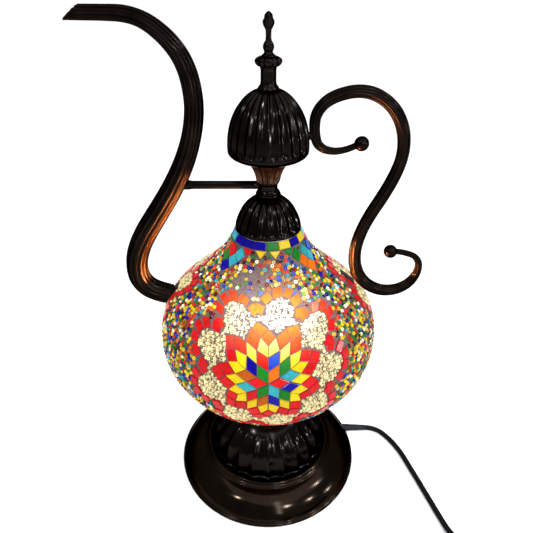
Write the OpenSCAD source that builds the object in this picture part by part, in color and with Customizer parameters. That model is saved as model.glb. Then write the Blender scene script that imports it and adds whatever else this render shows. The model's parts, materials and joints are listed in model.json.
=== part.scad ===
// Mosaic glass table lamp in the shape of a long-spouted ewer.
// The part stands on z = 0, its axis is Z, the spout points to -X and the handle to +X.

/* [Base] */
// Outer radius of the spun base
base_r = 100; // [96:1:104]
// Height of the flat top of the base above the table
base_top = 28.2; // [27:0.1:29]
// Sheet thickness of the spun base
sheet = 1.6; // [1.2:0.1:2]

/* [Pedestal] */
// Largest radius of the fluted pedestal, over its ridges
ped_r = 63.5; // [60:0.5:64]
// Height of the pedestal's dome above its widest point
ped_h = 50; // [48:1:51]
// Number of flutes round the pedestal
ped_flutes = 24; // [16:2:32]

/* [Globe] */
// Largest outer radius of the mosaic globe
globe_r = 105.8; // [104:0.1:106]
// Height of the globe's widest point above the table
globe_z = 185; // [184:0.5:186]
// Radius of the globe where the cap's rim meets it
globe_neck_r = 30; // [29.6:0.1:30.4]
// Height of the cap's rim above the table
cap_z = 297.5; // [297:0.5:298]
// Thickness of the tiles, beads and grout
mosaic_t = 2.8; // [2:0.1:3]
// Thickness of the blown glass
glass_t = 2.6; // [2:0.1:3]

/* [Cap and dome] */
// Radius of the fluted cap at its rim
cap_r = 29.6; // [29:0.1:30]
// Number of flutes round the cap
cap_flutes = 20; // [16:2:24]
// Radius of the fluted dome at its widest
dome_r = 34; // [33:0.1:34.2]
// Height of the dome above its widest point
dome_h = 46.5; // [46:0.5:47]
// Number of flutes round the dome
dome_flutes = 24; // [18:2:28]
// Number of flutes round the funnel under the dome
funnel_flutes = 16; // [12:2:20]
// Number of lobes on the finial's ring
ring_lobes = 14; // [10:2:18]

/* [Rod and lampholder] */
// Outer radius of the threaded centre rod
rod_r = 5; // [4.8:0.1:5]
// Distance from the centre rod to the bulb's axis
bulb_offset = 26; // [25.5:0.5:28]
// Direction of the bulb from the rod, seen from above
bulb_angle = -40; // [-60:5:-20]
// Largest radius of the bulb's glass
bulb_r = 17.5; // [15:0.5:17.5]

/* [Cord] */
// Radius of the mains cord
cord_r = 3; // [2.5:0.1:3]
// Radius of the coil's middle turn
coil_mid = 36; // [34:0.5:38]

/* [Hidden] */

bronze = [0.13, 0.09, 0.06];
steel = [0.62, 0.62, 0.63];
brass = [0.78, 0.62, 0.3];
black = [0.04, 0.04, 0.045];
white_plastic = [0.9, 0.88, 0.82];
felt_green = [0.07, 0.12, 0.08];
red_glass = [0.8, 0.25, 0.12];

// Rolled rim of the base
rim_bead = 2.4;
rim_z = 3;
// Holes that the centre rod passes with room to spare
rod_hole = rod_r + 0.3;
rod_bore = 3.6;
rod_bottom = 13;
rod_top = 431;
// The lower end of the globe
glass_mouth = 38;
gallery_seat = 107;
globe_drop = 82.3;
// Depths of the flutes
ped_flute = 2.6;
cap_flute = 1.3;
dome_flute = 1.5;
funnel_flute = 1;
// The bulb and its holder
bulb_pos = bulb_offset * [cos(bulb_angle), sin(bulb_angle)];
bracket_z = 136;
holder_z = 138;
bulb_cap_z = 152;
bulb_glass_z = 178;
// The finial
finial_z = 416.7;
spire_z = 441;
stud_r = 2;
// Gap between the spire and the ring it screws down to
spire_gap = 0.3;
// The cord lies on the table
cord_z = cord_r;
exit_y = 29;
exit_z = 4.2;
bushing_start = 92.6;
bushing_end = 121;
coil_pos = [124, -167];
coil_r_in = coil_mid - 9;
coil_r_out = coil_mid + 9;
coil_lift = 0.8;
coil_h = 12;
switch_pos = [188, -146];
switch_len = 58;
switch_w = 27;
rocker_tilt = 7;
pivot_z = 14.5;
plug_pos = [40.2, -190];
plug_angle = 165;

// The cord's route on the table, from the bushing to the switch
lamp_side_route = [
  [121, 29, 4.2], [130, 28.2, 3.4], [138, 24.5, 3], [145, 17, 3], [151, 7.5, 3], [156.5, -4, 3],
  [160.5, -16, 3], [164, -29, 3], [168, -43, 3], [172, -58, 3], [176, -73, 3], [180, -88, 3],
  [184, -102, 3.4], [187.5, -112, 5.5], [188, -117, 6.5]
];
// From the switch to the coil
switch_side_route = [
  [188, -175, 6.5], [188, -181, 5.5], [184.5, -191, 3.6], [177, -200, 3.3], [166, -206.5, 3.5],
  [152, -209.3, 3.8], [138, -209.2, 3.8], [124, -209, 3.8]
];
// From the coil to the plug
plug_side_route = [
  [124, -209, 9.8], [112, -209, 9.5], [101, -207.6, 8.7], [92, -204.4, 7.9], [84, -201.7, 7.3],
  [76, -199.6, 7], [69.4, -197.8, 7]
];
// The lead inside the base, the rod and the bracket
inner_route = [
  [92.2, 29, 4.8], [80, 27.5, 5.2], [60, 19.5, 6.2], [40, 13, 6.5], [24, 7.8, 6.5], [12, 3.9, 6.8],
  [4.5, 1.5, 8.6], [0.8, 0.3, 12.5], [0, 0, 18], [0, 0, 60], [0, 0, 104], [0.4, -0.3, 110],
  [3, -2.5, 115.5], [8, -6.7, 119], [13.5, -11.3, 122], [17.8, -14.9, 127], [19.6, -16.4, 133],
  [19.92, -16.71, 139]
];
// Centre line and radius of the spout, in the XZ plane: x, z, radius
spout_line = [
  [-143.8, 470.3, 5.45], [-136, 470.2, 5.5], [-121, 470, 5.6], [-107, 469.4, 5.9], [-96.5, 467, 6.1],
  [-87.5, 462.6, 6.5], [-79, 456, 6.9], [-72, 448.6, 7.2], [-66.5, 440.3, 7.4],
  [-62.3, 430, 7.6], [-59.8, 418, 7.8], [-59, 404, 7.9], [-60.6, 389.5, 8.1],
  [-64, 375.5, 8.3], [-69, 361.5, 8.7], [-75.5, 347.5, 9.1], [-83, 334, 9.4], [-91.5, 320.5, 9.7],
  [-100.5, 307, 10], [-109, 294, 10.2], [-116.5, 280.5, 10.2], [-121.6, 267, 10.2],
  [-123.3, 254, 10.2], [-121.5, 243, 10.2], [-116, 234.5, 10.2], [-107.5, 229, 10.1],
  [-96, 225, 10]
];
// Centre line and radius of the handle, from its upper ball to its lower ball
handle_line = [
  [71.6, 371.6, 2.8], [64, 368.6, 2.9], [55, 367.2, 3.2], [46.5, 368.8, 3.6], [41, 373, 4],
  [38.4, 379.5, 4.3], [37.4, 387.5, 4.5], [38, 395.5, 4.7], [41.5, 402.6, 4.9], [48, 408.6, 5.1],
  [57.5, 412.8, 5.2], [69, 415, 5.2], [80.5, 413.8, 5.2], [91, 409, 5.2], [99.5, 401.8, 5.3],
  [105.6, 393.2, 5.4], [109.8, 383, 5.5], [111.6, 372.5, 5.5], [111.4, 362, 5.5],
  [109, 351, 5.6], [104.6, 338.6, 5.7], [98.4, 325, 5.8], [91.5, 311.2, 5.8], [85.6, 297, 5.8],
  [81.8, 283, 5.9], [80.5, 269.5, 5.9], [82.3, 256, 6], [88, 244, 6], [97.8, 234.6, 5.9],
  [110.6, 229.6, 5.6], [123.8, 230.8, 5.2], [134.4, 237.4, 4.7], [140.4, 247.4, 4.1],
  [141.4, 258.4, 3.5], [136.8, 266.4, 3], [128, 270.4, 2.9], [118.6, 272.2, 2.8]
];
upper_ball = [76.8, 373.5];
lower_ball = [113.2, 272.2];
ball_r = 6.2;

// ---- Curves and outlines ----

function unit(v) = v / norm(v);

function bezier(p, t) =
  pow(1 - t, 3) * p[0] + 3 * pow(1 - t, 2) * t * p[1] + 3 * (1 - t) * t * t * p[2] + pow(t, 3) * p[3];

function bezier_curve(p, n) = [for (i = [0:n]) bezier(p, i / n)];

// Outward normal of a [radius, height] curve that runs upwards
function outward(curve, i) =
  let (a = curve[max(i - 1, 0)], b = curve[min(i + 1, len(curve) - 1)], d = unit(b - a))
  [d[1], -d[0]];

function shifted(curve, by) = [for (i = [0:len(curve) - 1]) curve[i] + by * outward(curve, i)];

function reversed(list) = [for (i = [len(list) - 1:-1:0]) list[i]];

// Closed outline between two copies of a curve, shifted outwards by the amounts outer and inner
function wall(curve, outer, inner) = concat(shifted(curve, outer), reversed(shifted(curve, inner)));

function above(curve, z) = [for (p = curve) if (p[1] >= z) p];

function below(curve, z) = [for (p = curve) if (p[1] <= z) p];

// Outer surface of the mosaic globe, from its lower mouth to under the cap
function lower_globe() = [
  for (i = [0:20])
    let (a = 68 - i * 3.4)
    [globe_r * cos(a), globe_z - globe_drop * sin(a)]
];

function upper_globe() = bezier_curve(
  [[globe_r, globe_z], [globe_r, globe_z + 50], [globe_r - 32.8, globe_z + 55], [44.3, globe_z + 87.8]], 18);

function neck_globe() = bezier_curve(
  [[44.3, globe_z + 87.8], [39.5, globe_z + 93.5], [34, cap_z - 7], [globe_neck_r - 3.4, cap_z + 5.5]], 10);

function tail(list) = [for (i = [1:len(list) - 1]) list[i]];

function globe_curve() = concat(lower_globe(), tail(upper_globe()), tail(neck_globe()));

// Radius of a rounded dome at the share u of its height
function dome_radius(r, u, power) = r * sqrt(max(0, 1 - pow(u, power)));

// A curve through points, with extra points between them
function spline_point(p, i, t) =
  let (n = len(p) - 1, a = p[max(i - 1, 0)], b = p[i], c = p[min(i + 1, n)], d = p[min(i + 2, n)])
  0.5 * (2 * b + (c - a) * t + (2 * a - 5 * b + 4 * c - d) * t * t
    + (3 * b - a - 3 * c + d) * t * t * t);

function spline(p, per) = concat(
  [for (i = [0:len(p) - 2], k = [0:per - 1]) spline_point(p, i, k / per)], [p[len(p) - 1]]);

// ---- Solids from rings of points ----

// Triangles between ring i and ring i + 1, each of n points
function ring_sides(i, k, n) = [
  for (j = [0:n - 1])
    let (a = i * n + j, b = i * n + (j + 1) % n, c = k * n + (j + 1) % n, d = k * n + j)
    each [[a, c, b], [a, d, c]]
];

// Closed solid whose rings run once round a wall: up the outside and down the inside
module ring_wall(rings) {
  n = len(rings[0]);
  m = len(rings);
  polyhedron(points = [for (r = rings) each r],
    faces = [for (i = [0:m - 1]) each ring_sides(i, (i + 1) % m, n)]);
}

// Solid tube with flat ends
module ring_tube(rings) {
  n = len(rings[0]);
  m = len(rings);
  polyhedron(points = [for (r = rings) each r],
    faces = concat([for (i = [0:m - 2]) each ring_sides(i, i + 1, n)],
      [[for (j = [0:n - 1]) j]], [[for (j = [n - 1:-1:0]) (m - 1) * n + j]]));
}

// Ring of a fluted surface: hollow flutes between narrow ridges, four points to a flute
function fluted_ring(r, z, flutes, depth) = [
  for (j = [0:flutes * 4 - 1])
    let (a = j * 90 / flutes, rr = r - depth * abs(sin(a * flutes / 2)))
    [rr * cos(a), rr * sin(a), z]
];

// Cross-section of a reeded tube at one point of a line in the XZ plane. With lean, it isn't square
// to the line: one side stands that far ahead of the middle.
function reeded_ring(line, i, reeds, depth, sides, lean) =
  let (
    a = line[max(i - 1, 0)], b = line[min(i + 1, len(line) - 1)],
    t = unit([b[0] - a[0], b[1] - a[1]]), c = line[i]
  )
  [
    for (j = [0:sides - 1])
      let (w = j * 360 / sides, r = c[2] - depth * (1 - abs(cos(w * reeds / 2))))
      [
        c[0] - t[1] * r * cos(w) + t[0] * lean * cos(w), r * sin(w),
        c[1] + t[0] * r * cos(w) + t[1] * lean * cos(w)
      ]
  ];

// Solid reeded tube. Its first and last faces may be cut on a slant.
module reeded_tube(line, reeds, depth, sides, first_lean = 0, last_lean = 0) {
  last = len(line) - 1;
  ring_tube([
    for (i = [0:last])
      let (lean = first_lean * max(0, 1 - i / 3) + last_lean * max(0, 1 - (last - i) / 3))
      reeded_ring(line, i, reeds, depth, sides, lean)
  ]);
}

// Round tube along points in space; ref is a direction that the route never follows
module cord_tube(route, r, sides, ref) {
  n = len(route) - 1;
  ring_tube([
    for (i = [0:n])
      let (
        t = unit(route[min(i + 1, n)] - route[max(i - 1, 0)]),
        u = unit(cross(t, ref)), v = cross(t, u)
      )
      [for (j = [0:sides - 1]) route[i] + r * (cos(j * 360 / sides) * v + sin(j * 360 / sides) * u)]
  ]);
}

module ring(r_out, r_in, z, h) {
  translate([0, 0, z])
    difference() {
      cylinder(h = h, r = r_out, $fn = 96);
      translate([0, 0, -1]) cylinder(h = h + 2, r = r_in, $fn = 96);
    }
}

module hex_nut(across, bore, z, h) {
  translate([0, 0, z])
    difference() {
      cylinder(h = h, r = across / 2 / cos(30), $fn = 6);
      translate([0, 0, -1]) cylinder(h = h + 2, r = bore, $fn = 48);
    }
}

// ---- Base ----

module felt_pad() {
  color(felt_green) cylinder(h = 1, r = 94, $fn = 120);
}

module base_cover() {
  color(steel) translate([0, 0, 1]) cylinder(h = 1, r = 95, $fn = 120);
}

// Hole for the cord through the rolled rim
module exit_hole(r) {
  translate([80, exit_y, exit_z]) rotate([0, 90, 0]) cylinder(h = 30, r = r, $fn = 48);
}

module base_shell() {
  slope = bezier_curve([[base_r - 2.6, 5], [base_r - 7, 15], [base_r - 16, 23], [73, 25.4]], 12);
  step = [[72.2, 25.6], [71.4, 27.2], [69.8, 27.9], [68.9, 29.6], [67, 30.1], [65.2, 29.6], [64.4, base_top]];
  curve = concat(slope, step, [[40, base_top], [rod_hole, base_top]]);
  inner = concat([for (p = shifted(slope, -sheet)) p],
    [[70, base_top - sheet - 1], [63, base_top - sheet], [rod_hole, base_top - sheet]]);
  color(bronze)
    difference() {
      union() {
        rotate_extrude($fn = 120) polygon(concat(curve, reversed(inner)));
        rotate_extrude($fn = 120)
          translate([base_r - rim_bead, rim_z]) circle(r = rim_bead, $fn = 24);
      }
      exit_hole(4.4);
    }
}

module base_weight() {
  color([0.2, 0.2, 0.21])
    difference() {
      ring(72, 24, 2, 7);
      rotate([0, 0, 18]) translate([20, -5, 1]) cube([60, 10, 10]);
    }
}

module base_washer() {
  color(steel) ring(15, rod_hole, 24.8, 1.8);
}

module base_nut() {
  color(brass) hex_nut(17, rod_r + 0.03, 18.4, 6.3);
}

// ---- Pedestal and globe seat ----

module pedestal() {
  foot_z = base_top + 6;
  rise = [for (i = [0:8]) sin(i * 10.5)];
  wall_t = 2;
  inner_r = ped_r - ped_flute - wall_t;
  outer = concat(
    [fluted_ring(ped_r - 1.6, base_top, ped_flutes, ped_flute),
      fluted_ring(ped_r - 0.4, base_top + 3, ped_flutes, ped_flute)],
    [for (u = rise)
      let (r = dome_radius(ped_r, u, 2.2))
      fluted_ring(r, foot_z + ped_h * u, ped_flutes, ped_flute * min(1, r / 40) * 0.98)],
    [fluted_ring(rod_hole, foot_z + ped_h, ped_flutes, 0)]);
  inner = concat(
    [fluted_ring(inner_r, base_top, ped_flutes, 0)],
    [for (u = rise) fluted_ring(dome_radius(inner_r, u, 2.2), foot_z + (ped_h - wall_t) * u, ped_flutes, 0)],
    [fluted_ring(rod_hole, foot_z + ped_h - wall_t, ped_flutes, 0)]);
  color(bronze) ring_wall(concat(outer, reversed(inner)));
}

module globe_gallery() {
  z = base_top + 6 + ped_h;
  color(bronze)
    rotate_extrude($fn = 96)
      polygon([
        [rod_hole, z], [20, z], [22.5, z + 1.2], [22.5, z + 2.6], [19.5, z + 4], [13.5, z + 5.6],
        [11.6, z + 9], [12.2, z + 12], [15.5, z + 15], [24, z + 18], [36, z + 20.4], [44.6, z + 22.4],
        [46.4, z + 24], [46.8, z + 26.4], [46, z + 27], [45.2, z + 26.4], [44.6, z + 24.4],
        [43.8, gallery_seat], [36, gallery_seat], [34, z + 21.6], [22, z + 19.6], [13.6, z + 16.6],
        [rod_hole, z + 15]
      ]);
}

module globe_gasket() {
  color(black)
    rotate_extrude($fn = 96)
      polygon([[36.5, gallery_seat], [43.6, gallery_seat], [43.6, 111.8], [38.4, 110.9], [36.5, 110.9]]);
}

module globe_glass() {
  curve = shifted(globe_curve(), -mosaic_t - 0.2);
  color(red_glass, 0.6)
    rotate_extrude($fn = 120)
      polygon(wall([for (p = curve) if (p[0] > glass_mouth || p[1] > globe_z) p], 0, -glass_t));
}

module mosaic_skin() {
  curve = below(above(globe_curve(), 118), cap_z - 0.3);
  color(red_glass) rotate_extrude($fn = 120) polygon(wall(curve, 0, -mosaic_t));
}

// ---- Centre rod, lampholder and bulb ----

module centre_rod() {
  color(brass)
    difference() {
      ring(rod_r, rod_bore, rod_bottom, rod_top - rod_bottom);
      rotate([0, 0, bulb_angle]) translate([0, -2.9, 107]) cube([8, 5.8, 18]);
    }
}

module at_bulb() {
  translate([bulb_pos[0], bulb_pos[1], 0]) children();
}

module holder_bracket() {
  color(steel)
    translate([0, 0, bracket_z])
      difference() {
        linear_extrude(height = 2)
          union() {
            circle(r = 11, $fn = 48);
            translate(bulb_pos) circle(r = 12, $fn = 48);
            rotate(bulb_angle) translate([0, -8]) square([bulb_offset, 16]);
          }
        translate([0, 0, -1]) cylinder(h = 4, r = rod_hole, $fn = 48);
        translate([bulb_pos[0], bulb_pos[1], -1]) cylinder(h = 4, r = 3.4, $fn = 48);
      }
}

module bracket_nuts() {
  color(brass) {
    hex_nut(15, rod_r + 0.03, bracket_z - 6, 5.9);
    hex_nut(15, rod_r + 0.03, bracket_z + 2.1, 5.9);
  }
}

module lampholder() {
  color(white_plastic)
    at_bulb()
      rotate_extrude($fn = 72)
        polygon([
          [3.4, holder_z], [11, holder_z], [13.5, holder_z + 4], [13.5, 172], [12.4, 176],
          [9, 176], [8.6, 175], [8.6, 149], [3.4, 149]
        ]);
}

module holder_sleeve() {
  color(brass) at_bulb() ring(8.5, 7.5, 150, 24);
}

module inner_lead() {
  color(white_plastic) cord_tube(inner_route, 2.4, 8, [0.2, 0.98, 0]);
}

module bulb_cap() {
  color(steel)
    at_bulb()
      translate([0, 0, bulb_cap_z])
        rotate_extrude($fn = 72)
          polygon([
            [0, 0], [2.4, 0], [3.4, 2], [6, 4.4], [6.6, 5.4], [6.9, 7], [6.4, 8.4], [6.9, 9.8],
            [6.4, 11.2], [6.9, 12.6], [6.4, 14], [6.9, 15.4], [6.4, 16.8], [6.9, 18.2], [7, 21],
            [7, 26], [0, 26]
          ]);
}

module bulb_glass() {
  side = bezier_curve([[8.4, 0], [13, 9], [bulb_r + 0.4, 14], [bulb_r, 25]], 10);
  top = bezier_curve([[bulb_r, 25], [bulb_r - 0.4, 42], [6, 52], [0, 64]], 14);
  color([1, 0.95, 0.8])
    at_bulb()
      translate([0, 0, bulb_glass_z])
        rotate_extrude($fn = 72) polygon(concat([[0, 0]], side, tail(top)));
}

// ---- Cap, neck, funnel and dome ----

module top_cap() {
  height = 32.5;
  wall_t = 1.4;
  inner_r = cap_r - cap_flute - wall_t;
  rise = [for (i = [1:7]) sin(i * 10.4)];
  outer = concat(
    [fluted_ring(cap_r - 0.2, cap_z, cap_flutes, 0), fluted_ring(cap_r, cap_z + 1, cap_flutes, 0),
      fluted_ring(cap_r - 0.1, cap_z + 3.4, cap_flutes, 0.2)],
    [for (u = rise)
      let (r = dome_radius(cap_r, u, 1.75))
      fluted_ring(r, cap_z + height * u, cap_flutes, cap_flute * min(1, r / 20))],
    [fluted_ring(8, cap_z + 31.1, cap_flutes, 0), fluted_ring(rod_hole, cap_z + 31.1, cap_flutes, 0)]);
  inner = concat(
    [fluted_ring(inner_r + 1, cap_z, cap_flutes, 0)],
    [for (u = rise) fluted_ring(dome_radius(inner_r, u, 1.75), cap_z + (height - wall_t) * u, cap_flutes, 0)],
    [fluted_ring(rod_hole, cap_z + 29.7, cap_flutes, 0)]);
  color(bronze) ring_wall(concat(outer, reversed(inner)));
}

module neck_collar() {
  z = cap_z + 31.1;
  color(bronze)
    difference() {
      union() {
        rotate_extrude($fn = 72)
          polygon([
            [rod_r + 0.1, z], [9.8, z], [10.8, z + 1], [10.8, z + 2], [9.8, z + 2.8], [10, z + 3.6],
            [9.2, z + 4.4], [8.3, z + 6], [8.1, z + 8.5], [8.6, z + 10.6], [9.6, z + 11.9],
            [9.6, z + 12.6], [rod_r + 0.1, z + 12.6]
          ]);
        translate([0, 0, z + 9]) rotate([0, -90, 0]) cylinder(h = 11.5, r = 3.5, $fn = 48);
      }
      translate([0, 0, z]) cylinder(h = 20, r = rod_r + 0.1, $fn = 72);
    }
}

module strut_bar() {
  color(bronze)
    translate([-11.5, 0, cap_z + 40.1]) rotate([0, -90.3, 0]) cylinder(h = 61.5, r = 3.6, $fn = 48);
}

module funnel() {
  z = cap_z + 43.7;
  height = 19;
  wall_t = 1.4;
  line = bezier_curve([[10.2, 0], [11, 7], [13.8, 12.5], [18.5, height]], 7);
  outer = [for (p = line) fluted_ring(p[0], z + p[1], funnel_flutes, funnel_flute)];
  inner = [for (p = line) fluted_ring(p[0] - funnel_flute - wall_t, z + p[1], funnel_flutes, 0)];
  color([0.2, 0.1, 0.06]) ring_wall(concat(outer, reversed(inner)));
}

module dome_bowl() {
  z = cap_z + 62.7;
  depth = 8.8;
  seam = z + depth;
  curve = concat(
    [for (i = [0:10])
      let (u = cos(i * 9))
      [dome_radius(dome_r, u * 0.86, 2.4), seam - depth * u]]);
  color(bronze)
    rotate_extrude($fn = 96)
      polygon(concat([[rod_hole, z]], curve, reversed(shifted(curve, -1.4)), [[rod_hole, z + 1.4]]));
}

module dome() {
  seam = cap_z + 71.6;
  wide = seam + 3;
  wall_t = 1.4;
  inner_r = dome_r - dome_flute - wall_t;
  rise = [for (i = [0:8]) sin(i * 8.7)];
  top = finial_z;
  outer = concat(
    [fluted_ring(dome_r, seam, dome_flutes, 0)],
    [for (u = rise)
      let (r = dome_radius(dome_r, u, 2))
      fluted_ring(r, wide + dome_h * u, dome_flutes, dome_flute * min(1, r / 20))],
    [fluted_ring(9, top, dome_flutes, 0), fluted_ring(rod_hole, top, dome_flutes, 0)]);
  inner = concat(
    [fluted_ring(inner_r, seam, dome_flutes, 0)],
    [for (u = rise) fluted_ring(dome_radius(inner_r, u, 2), wide + (dome_h - 3) * u, dome_flutes, 0)],
    [fluted_ring(rod_hole, top - 2, dome_flutes, 0)]);
  color(bronze) ring_wall(concat(outer, reversed(inner)));
}

// ---- Finial ----

module finial_base() {
  z = finial_z;
  color(bronze)
    difference() {
      rotate_extrude($fn = 72)
        polygon([
          [0, z], [8.3, z], [8.5, z + 0.8], [7.9, z + 2], [6.8, z + 3.3], [6.3, z + 5],
          [6.15, z + 7], [6.15, z + 14.6], [6.9, z + 16.4], [6.9, z + 16.8], [0, z + 16.8]
        ]);
      translate([0, 0, z - 1]) cylinder(h = rod_top - z + 1.2, r = rod_r + 0.05, $fn = 72);
      translate([0, 0, z]) cylinder(h = 20, r = stud_r + 0.1, $fn = 48);
    }
}

module finial_ring() {
  z = finial_z + 16.8;
  steps = [[6.9, 0, 0], [9, 0.6, 0.5], [10.2, 2.2, 0.9], [10.6, 3.9, 1], [9.8, 5.6, 0.8], [7.4, 7, 0.3]];
  outer = [for (s = steps) fluted_ring(s[0], z + s[1], ring_lobes, s[2])];
  inner = [for (h = [0, 7]) fluted_ring(stud_r + 0.3, z + h, ring_lobes, 0)];
  color(bronze) ring_wall(concat(outer, reversed(inner)));
}

module finial_stud() {
  color(steel) {
    translate([0, 0, 420]) cylinder(h = 8, r = rod_bore - 0.05, $fn = 48);
    translate([0, 0, 427]) cylinder(h = 21.5, r = stud_r, $fn = 48);
  }
}

module finial_spire() {
  z = spire_z - 0.2;
  color(bronze)
    difference() {
      rotate_extrude($fn = 72)
        polygon([
          [0, z], [5.4, z], [5.2, z + 0.7], [3.9, z + 1.6], [3.35, z + 3], [3.9, z + 4.4],
          [4.3, z + 6], [4.1, z + 7.6], [3.3, z + 9.4], [2.4, z + 10.8], [2.15, z + 13],
          [2.15, z + 16], [2.4, z + 18], [3.3, z + 19.6], [4.1, z + 21.2], [4.45, z + 23],
          [4.1, z + 24.4], [3.4, z + 25.4], [3.25, z + 26.4], [2.9, z + 27.8], [1.8, z + 29.2],
          [0.8, z + 30], [0, z + 30.2]
        ]);
      translate([0, 0, z - 1]) cylinder(h = 9.4, r = stud_r + 0.05, $fn = 48);
    }
}

// ---- Spout and handle ----

module spout() {
  color(bronze) reeded_tube(spline(spout_line, 2), 12, 0.8, 24, first_lean = 6.2, last_lean = 2.5);
}

// Pad that follows the globe's surface between two heights
module globe_pad(angle, low, high, thick, half_width) {
  curve = below(above(globe_curve(), low), high);
  color(black)
    rotate([0, 0, angle - half_width])
      rotate_extrude(angle = 2 * half_width, $fn = 120) polygon(wall(curve, thick + 0.15, 0.15));
}

module spout_pad() {
  globe_pad(180, 214, 236, 0.7, 4.5);
}

module handle() {
  color(bronze) reeded_tube(spline(handle_line, 2), 10, 0.6, 20);
}

module handle_peg() {
  color(bronze) translate([31, 0, 380]) rotate([0, 90, 0]) cylinder(h = 6, r = 3.2, $fn = 48);
}

module handle_pad() {
  globe_pad(0, 236, 252, 0.9, 3);
}

module scroll_ball(pos) {
  color(bronze) translate([pos[0], 0, pos[1]]) sphere(r = ball_r, $fn = 48);
}

module handle_ball_upper() {
  scroll_ball(upper_ball);
}

module handle_ball_lower() {
  scroll_ball(lower_ball);
}

// ---- Cord, switch and plug ----

module cord_bushing() {
  color(black)
    translate([bushing_start, exit_y, exit_z])
      rotate([0, 90, 0])
        rotate_extrude($fn = 48)
          polygon([
            [0, 0], [4.1, 0], [4.1, 9.4], [3.9, 10.4], [3.8, 17.4], [cord_r + 0.3, 27.8],
            [cord_r + 0.1, bushing_end - bushing_start], [0, bushing_end - bushing_start]
          ]);
}

module cord_lamp_side() {
  color(black) cord_tube(spline(lamp_side_route, 1), cord_r, 10, [0, 0, 1]);
}

module cord_switch_side() {
  color(black) cord_tube(spline(switch_side_route, 1), cord_r, 10, [0, 0, 1]);
}

module cord_plug_side() {
  color(black) cord_tube(spline(plug_side_route, 1), cord_r, 10, [0, 0, 1]);
}

module at_coil() {
  translate([coil_pos[0], coil_pos[1], 0]) children();
}

module cord_coil() {
  color(black)
    at_coil()
      translate([0, 0, coil_lift])
        rotate_extrude($fn = 96)
          polygon([
            [coil_r_in, 1.5], [coil_r_in + 1.5, 0], [coil_r_out - 1.5, 0], [coil_r_out, 1.5],
            [coil_r_out, coil_h - 1.5], [coil_r_out - 1.5, coil_h], [coil_r_in + 1.5, coil_h],
            [coil_r_in, coil_h - 1.5]
          ]);
}

// Strap round the bundle of turns
module coil_tie() {
  half = (coil_r_out - coil_r_in) / 2;
  gap = 0.75;
  strap = 0.65;
  color([0.1, 0.1, 0.11])
    at_coil()
      translate([-5, coil_mid, 0])
        difference() {
          translate([0, -half - gap - strap, 0])
            cube([10, 2 * (half + gap + strap), coil_lift + coil_h + gap + strap]);
          translate([-1, -half - gap, strap])
            cube([12, 2 * (half + gap), coil_lift + coil_h + gap - strap]);
        }
}

module at_switch() {
  translate([switch_pos[0], switch_pos[1], 0]) children();
}

// Outline of the switch housing, seen from above
module switch_outline(inset) {
  r = 9;
  union() {
    square([switch_w - 2 * inset, switch_len - 2 * r], center = true);
    square([switch_w - 2 * r, switch_len - 2 * inset], center = true);
    for (x = [-1, 1], y = [-1, 1])
      translate([x * (switch_w / 2 - r), y * (switch_len / 2 - r)]) circle(r = r - inset, $fn = 48);
  }
}

module switch_screw_places() {
  for (y = [-1, 1]) translate([0, y * 19.5, 0]) children();
}

module switch_cord_holes() {
  translate([0, switch_len / 2 + 1, 6.5]) rotate([90, 0, 0])
    cylinder(h = switch_len + 2, r = cord_r + 0.05, $fn = 32);
}

module switch_base() {
  color(black)
    at_switch()
      difference() {
        linear_extrude(height = 6.5) switch_outline(0);
        translate([0, 0, 2])
          linear_extrude(height = 6)
            difference() {
              square([19, 47], center = true);
              switch_screw_places() circle(r = 3.4, $fn = 32);
            }
        switch_cord_holes();
        switch_screw_places() translate([0, 0, -1]) cylinder(h = 20, r = 1.35, $fn = 32);
        switch_screw_places() translate([0, 0, -1]) cylinder(h = 2.2, r = 2.6, $fn = 32);
      }
}

module switch_cover() {
  color(black)
    at_switch()
      difference() {
        union() {
          translate([0, 0, 6.5]) linear_extrude(height = 7.5) switch_outline(0);
          translate([0, 0, 14]) linear_extrude(height = 2) switch_outline(1.2);
        }
        translate([0, 0, 5])
          linear_extrude(height = 9)
            difference() {
              square([20, 47], center = true);
              switch_screw_places() circle(r = 3.4, $fn = 32);
            }
        translate([-5.4, -9, 10]) cube([10.8, 18, 8]);
        switch_cord_holes();
        switch_screw_places() translate([0, 0, 4]) cylinder(h = 8, r = 1.15, $fn = 32);
        translate([-7.5, 0, pivot_z]) rotate([0, 90, 0]) cylinder(h = 15, r = 1.05, $fn = 32);
      }
}

module switch_screws() {
  color(steel)
    at_switch()
      switch_screw_places() {
        translate([0, 0, 0.2]) cylinder(h = 0.95, r = 2.4, $fn = 32);
        translate([0, 0, 1]) cylinder(h = 10, r = 1.1, $fn = 32);
      }
}

// Rocker, seen along its pivot: two flat faces that meet over the pivot, and a round belly
module switch_rocker() {
  reach = 8.1;
  belly = 4.4;
  color([0.75, 0.08, 0.06])
    at_switch()
      translate([0, 0, pivot_z])
        rotate([rocker_tilt, 0, 0]) {
          translate([-5, 0, 0])
            rotate([90, 0, 90])
              linear_extrude(height = 10)
                difference() {
                  union() {
                    polygon([[-reach, -0.6], [reach, -0.6], [reach, 3.2], [0, 2.1], [-reach, 3.2]]);
                    circle(r = belly, $fn = 48);
                  }
                  translate([-belly, 2.1]) square([2 * belly, belly]);
                }
          translate([-6.8, 0, 0]) rotate([0, 90, 0]) cylinder(h = 13.6, r = 1, $fn = 32);
        }
}

module at_plug() {
  translate([plug_pos[0], plug_pos[1], 0]) rotate([0, 0, plug_angle]) children();
}

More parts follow.
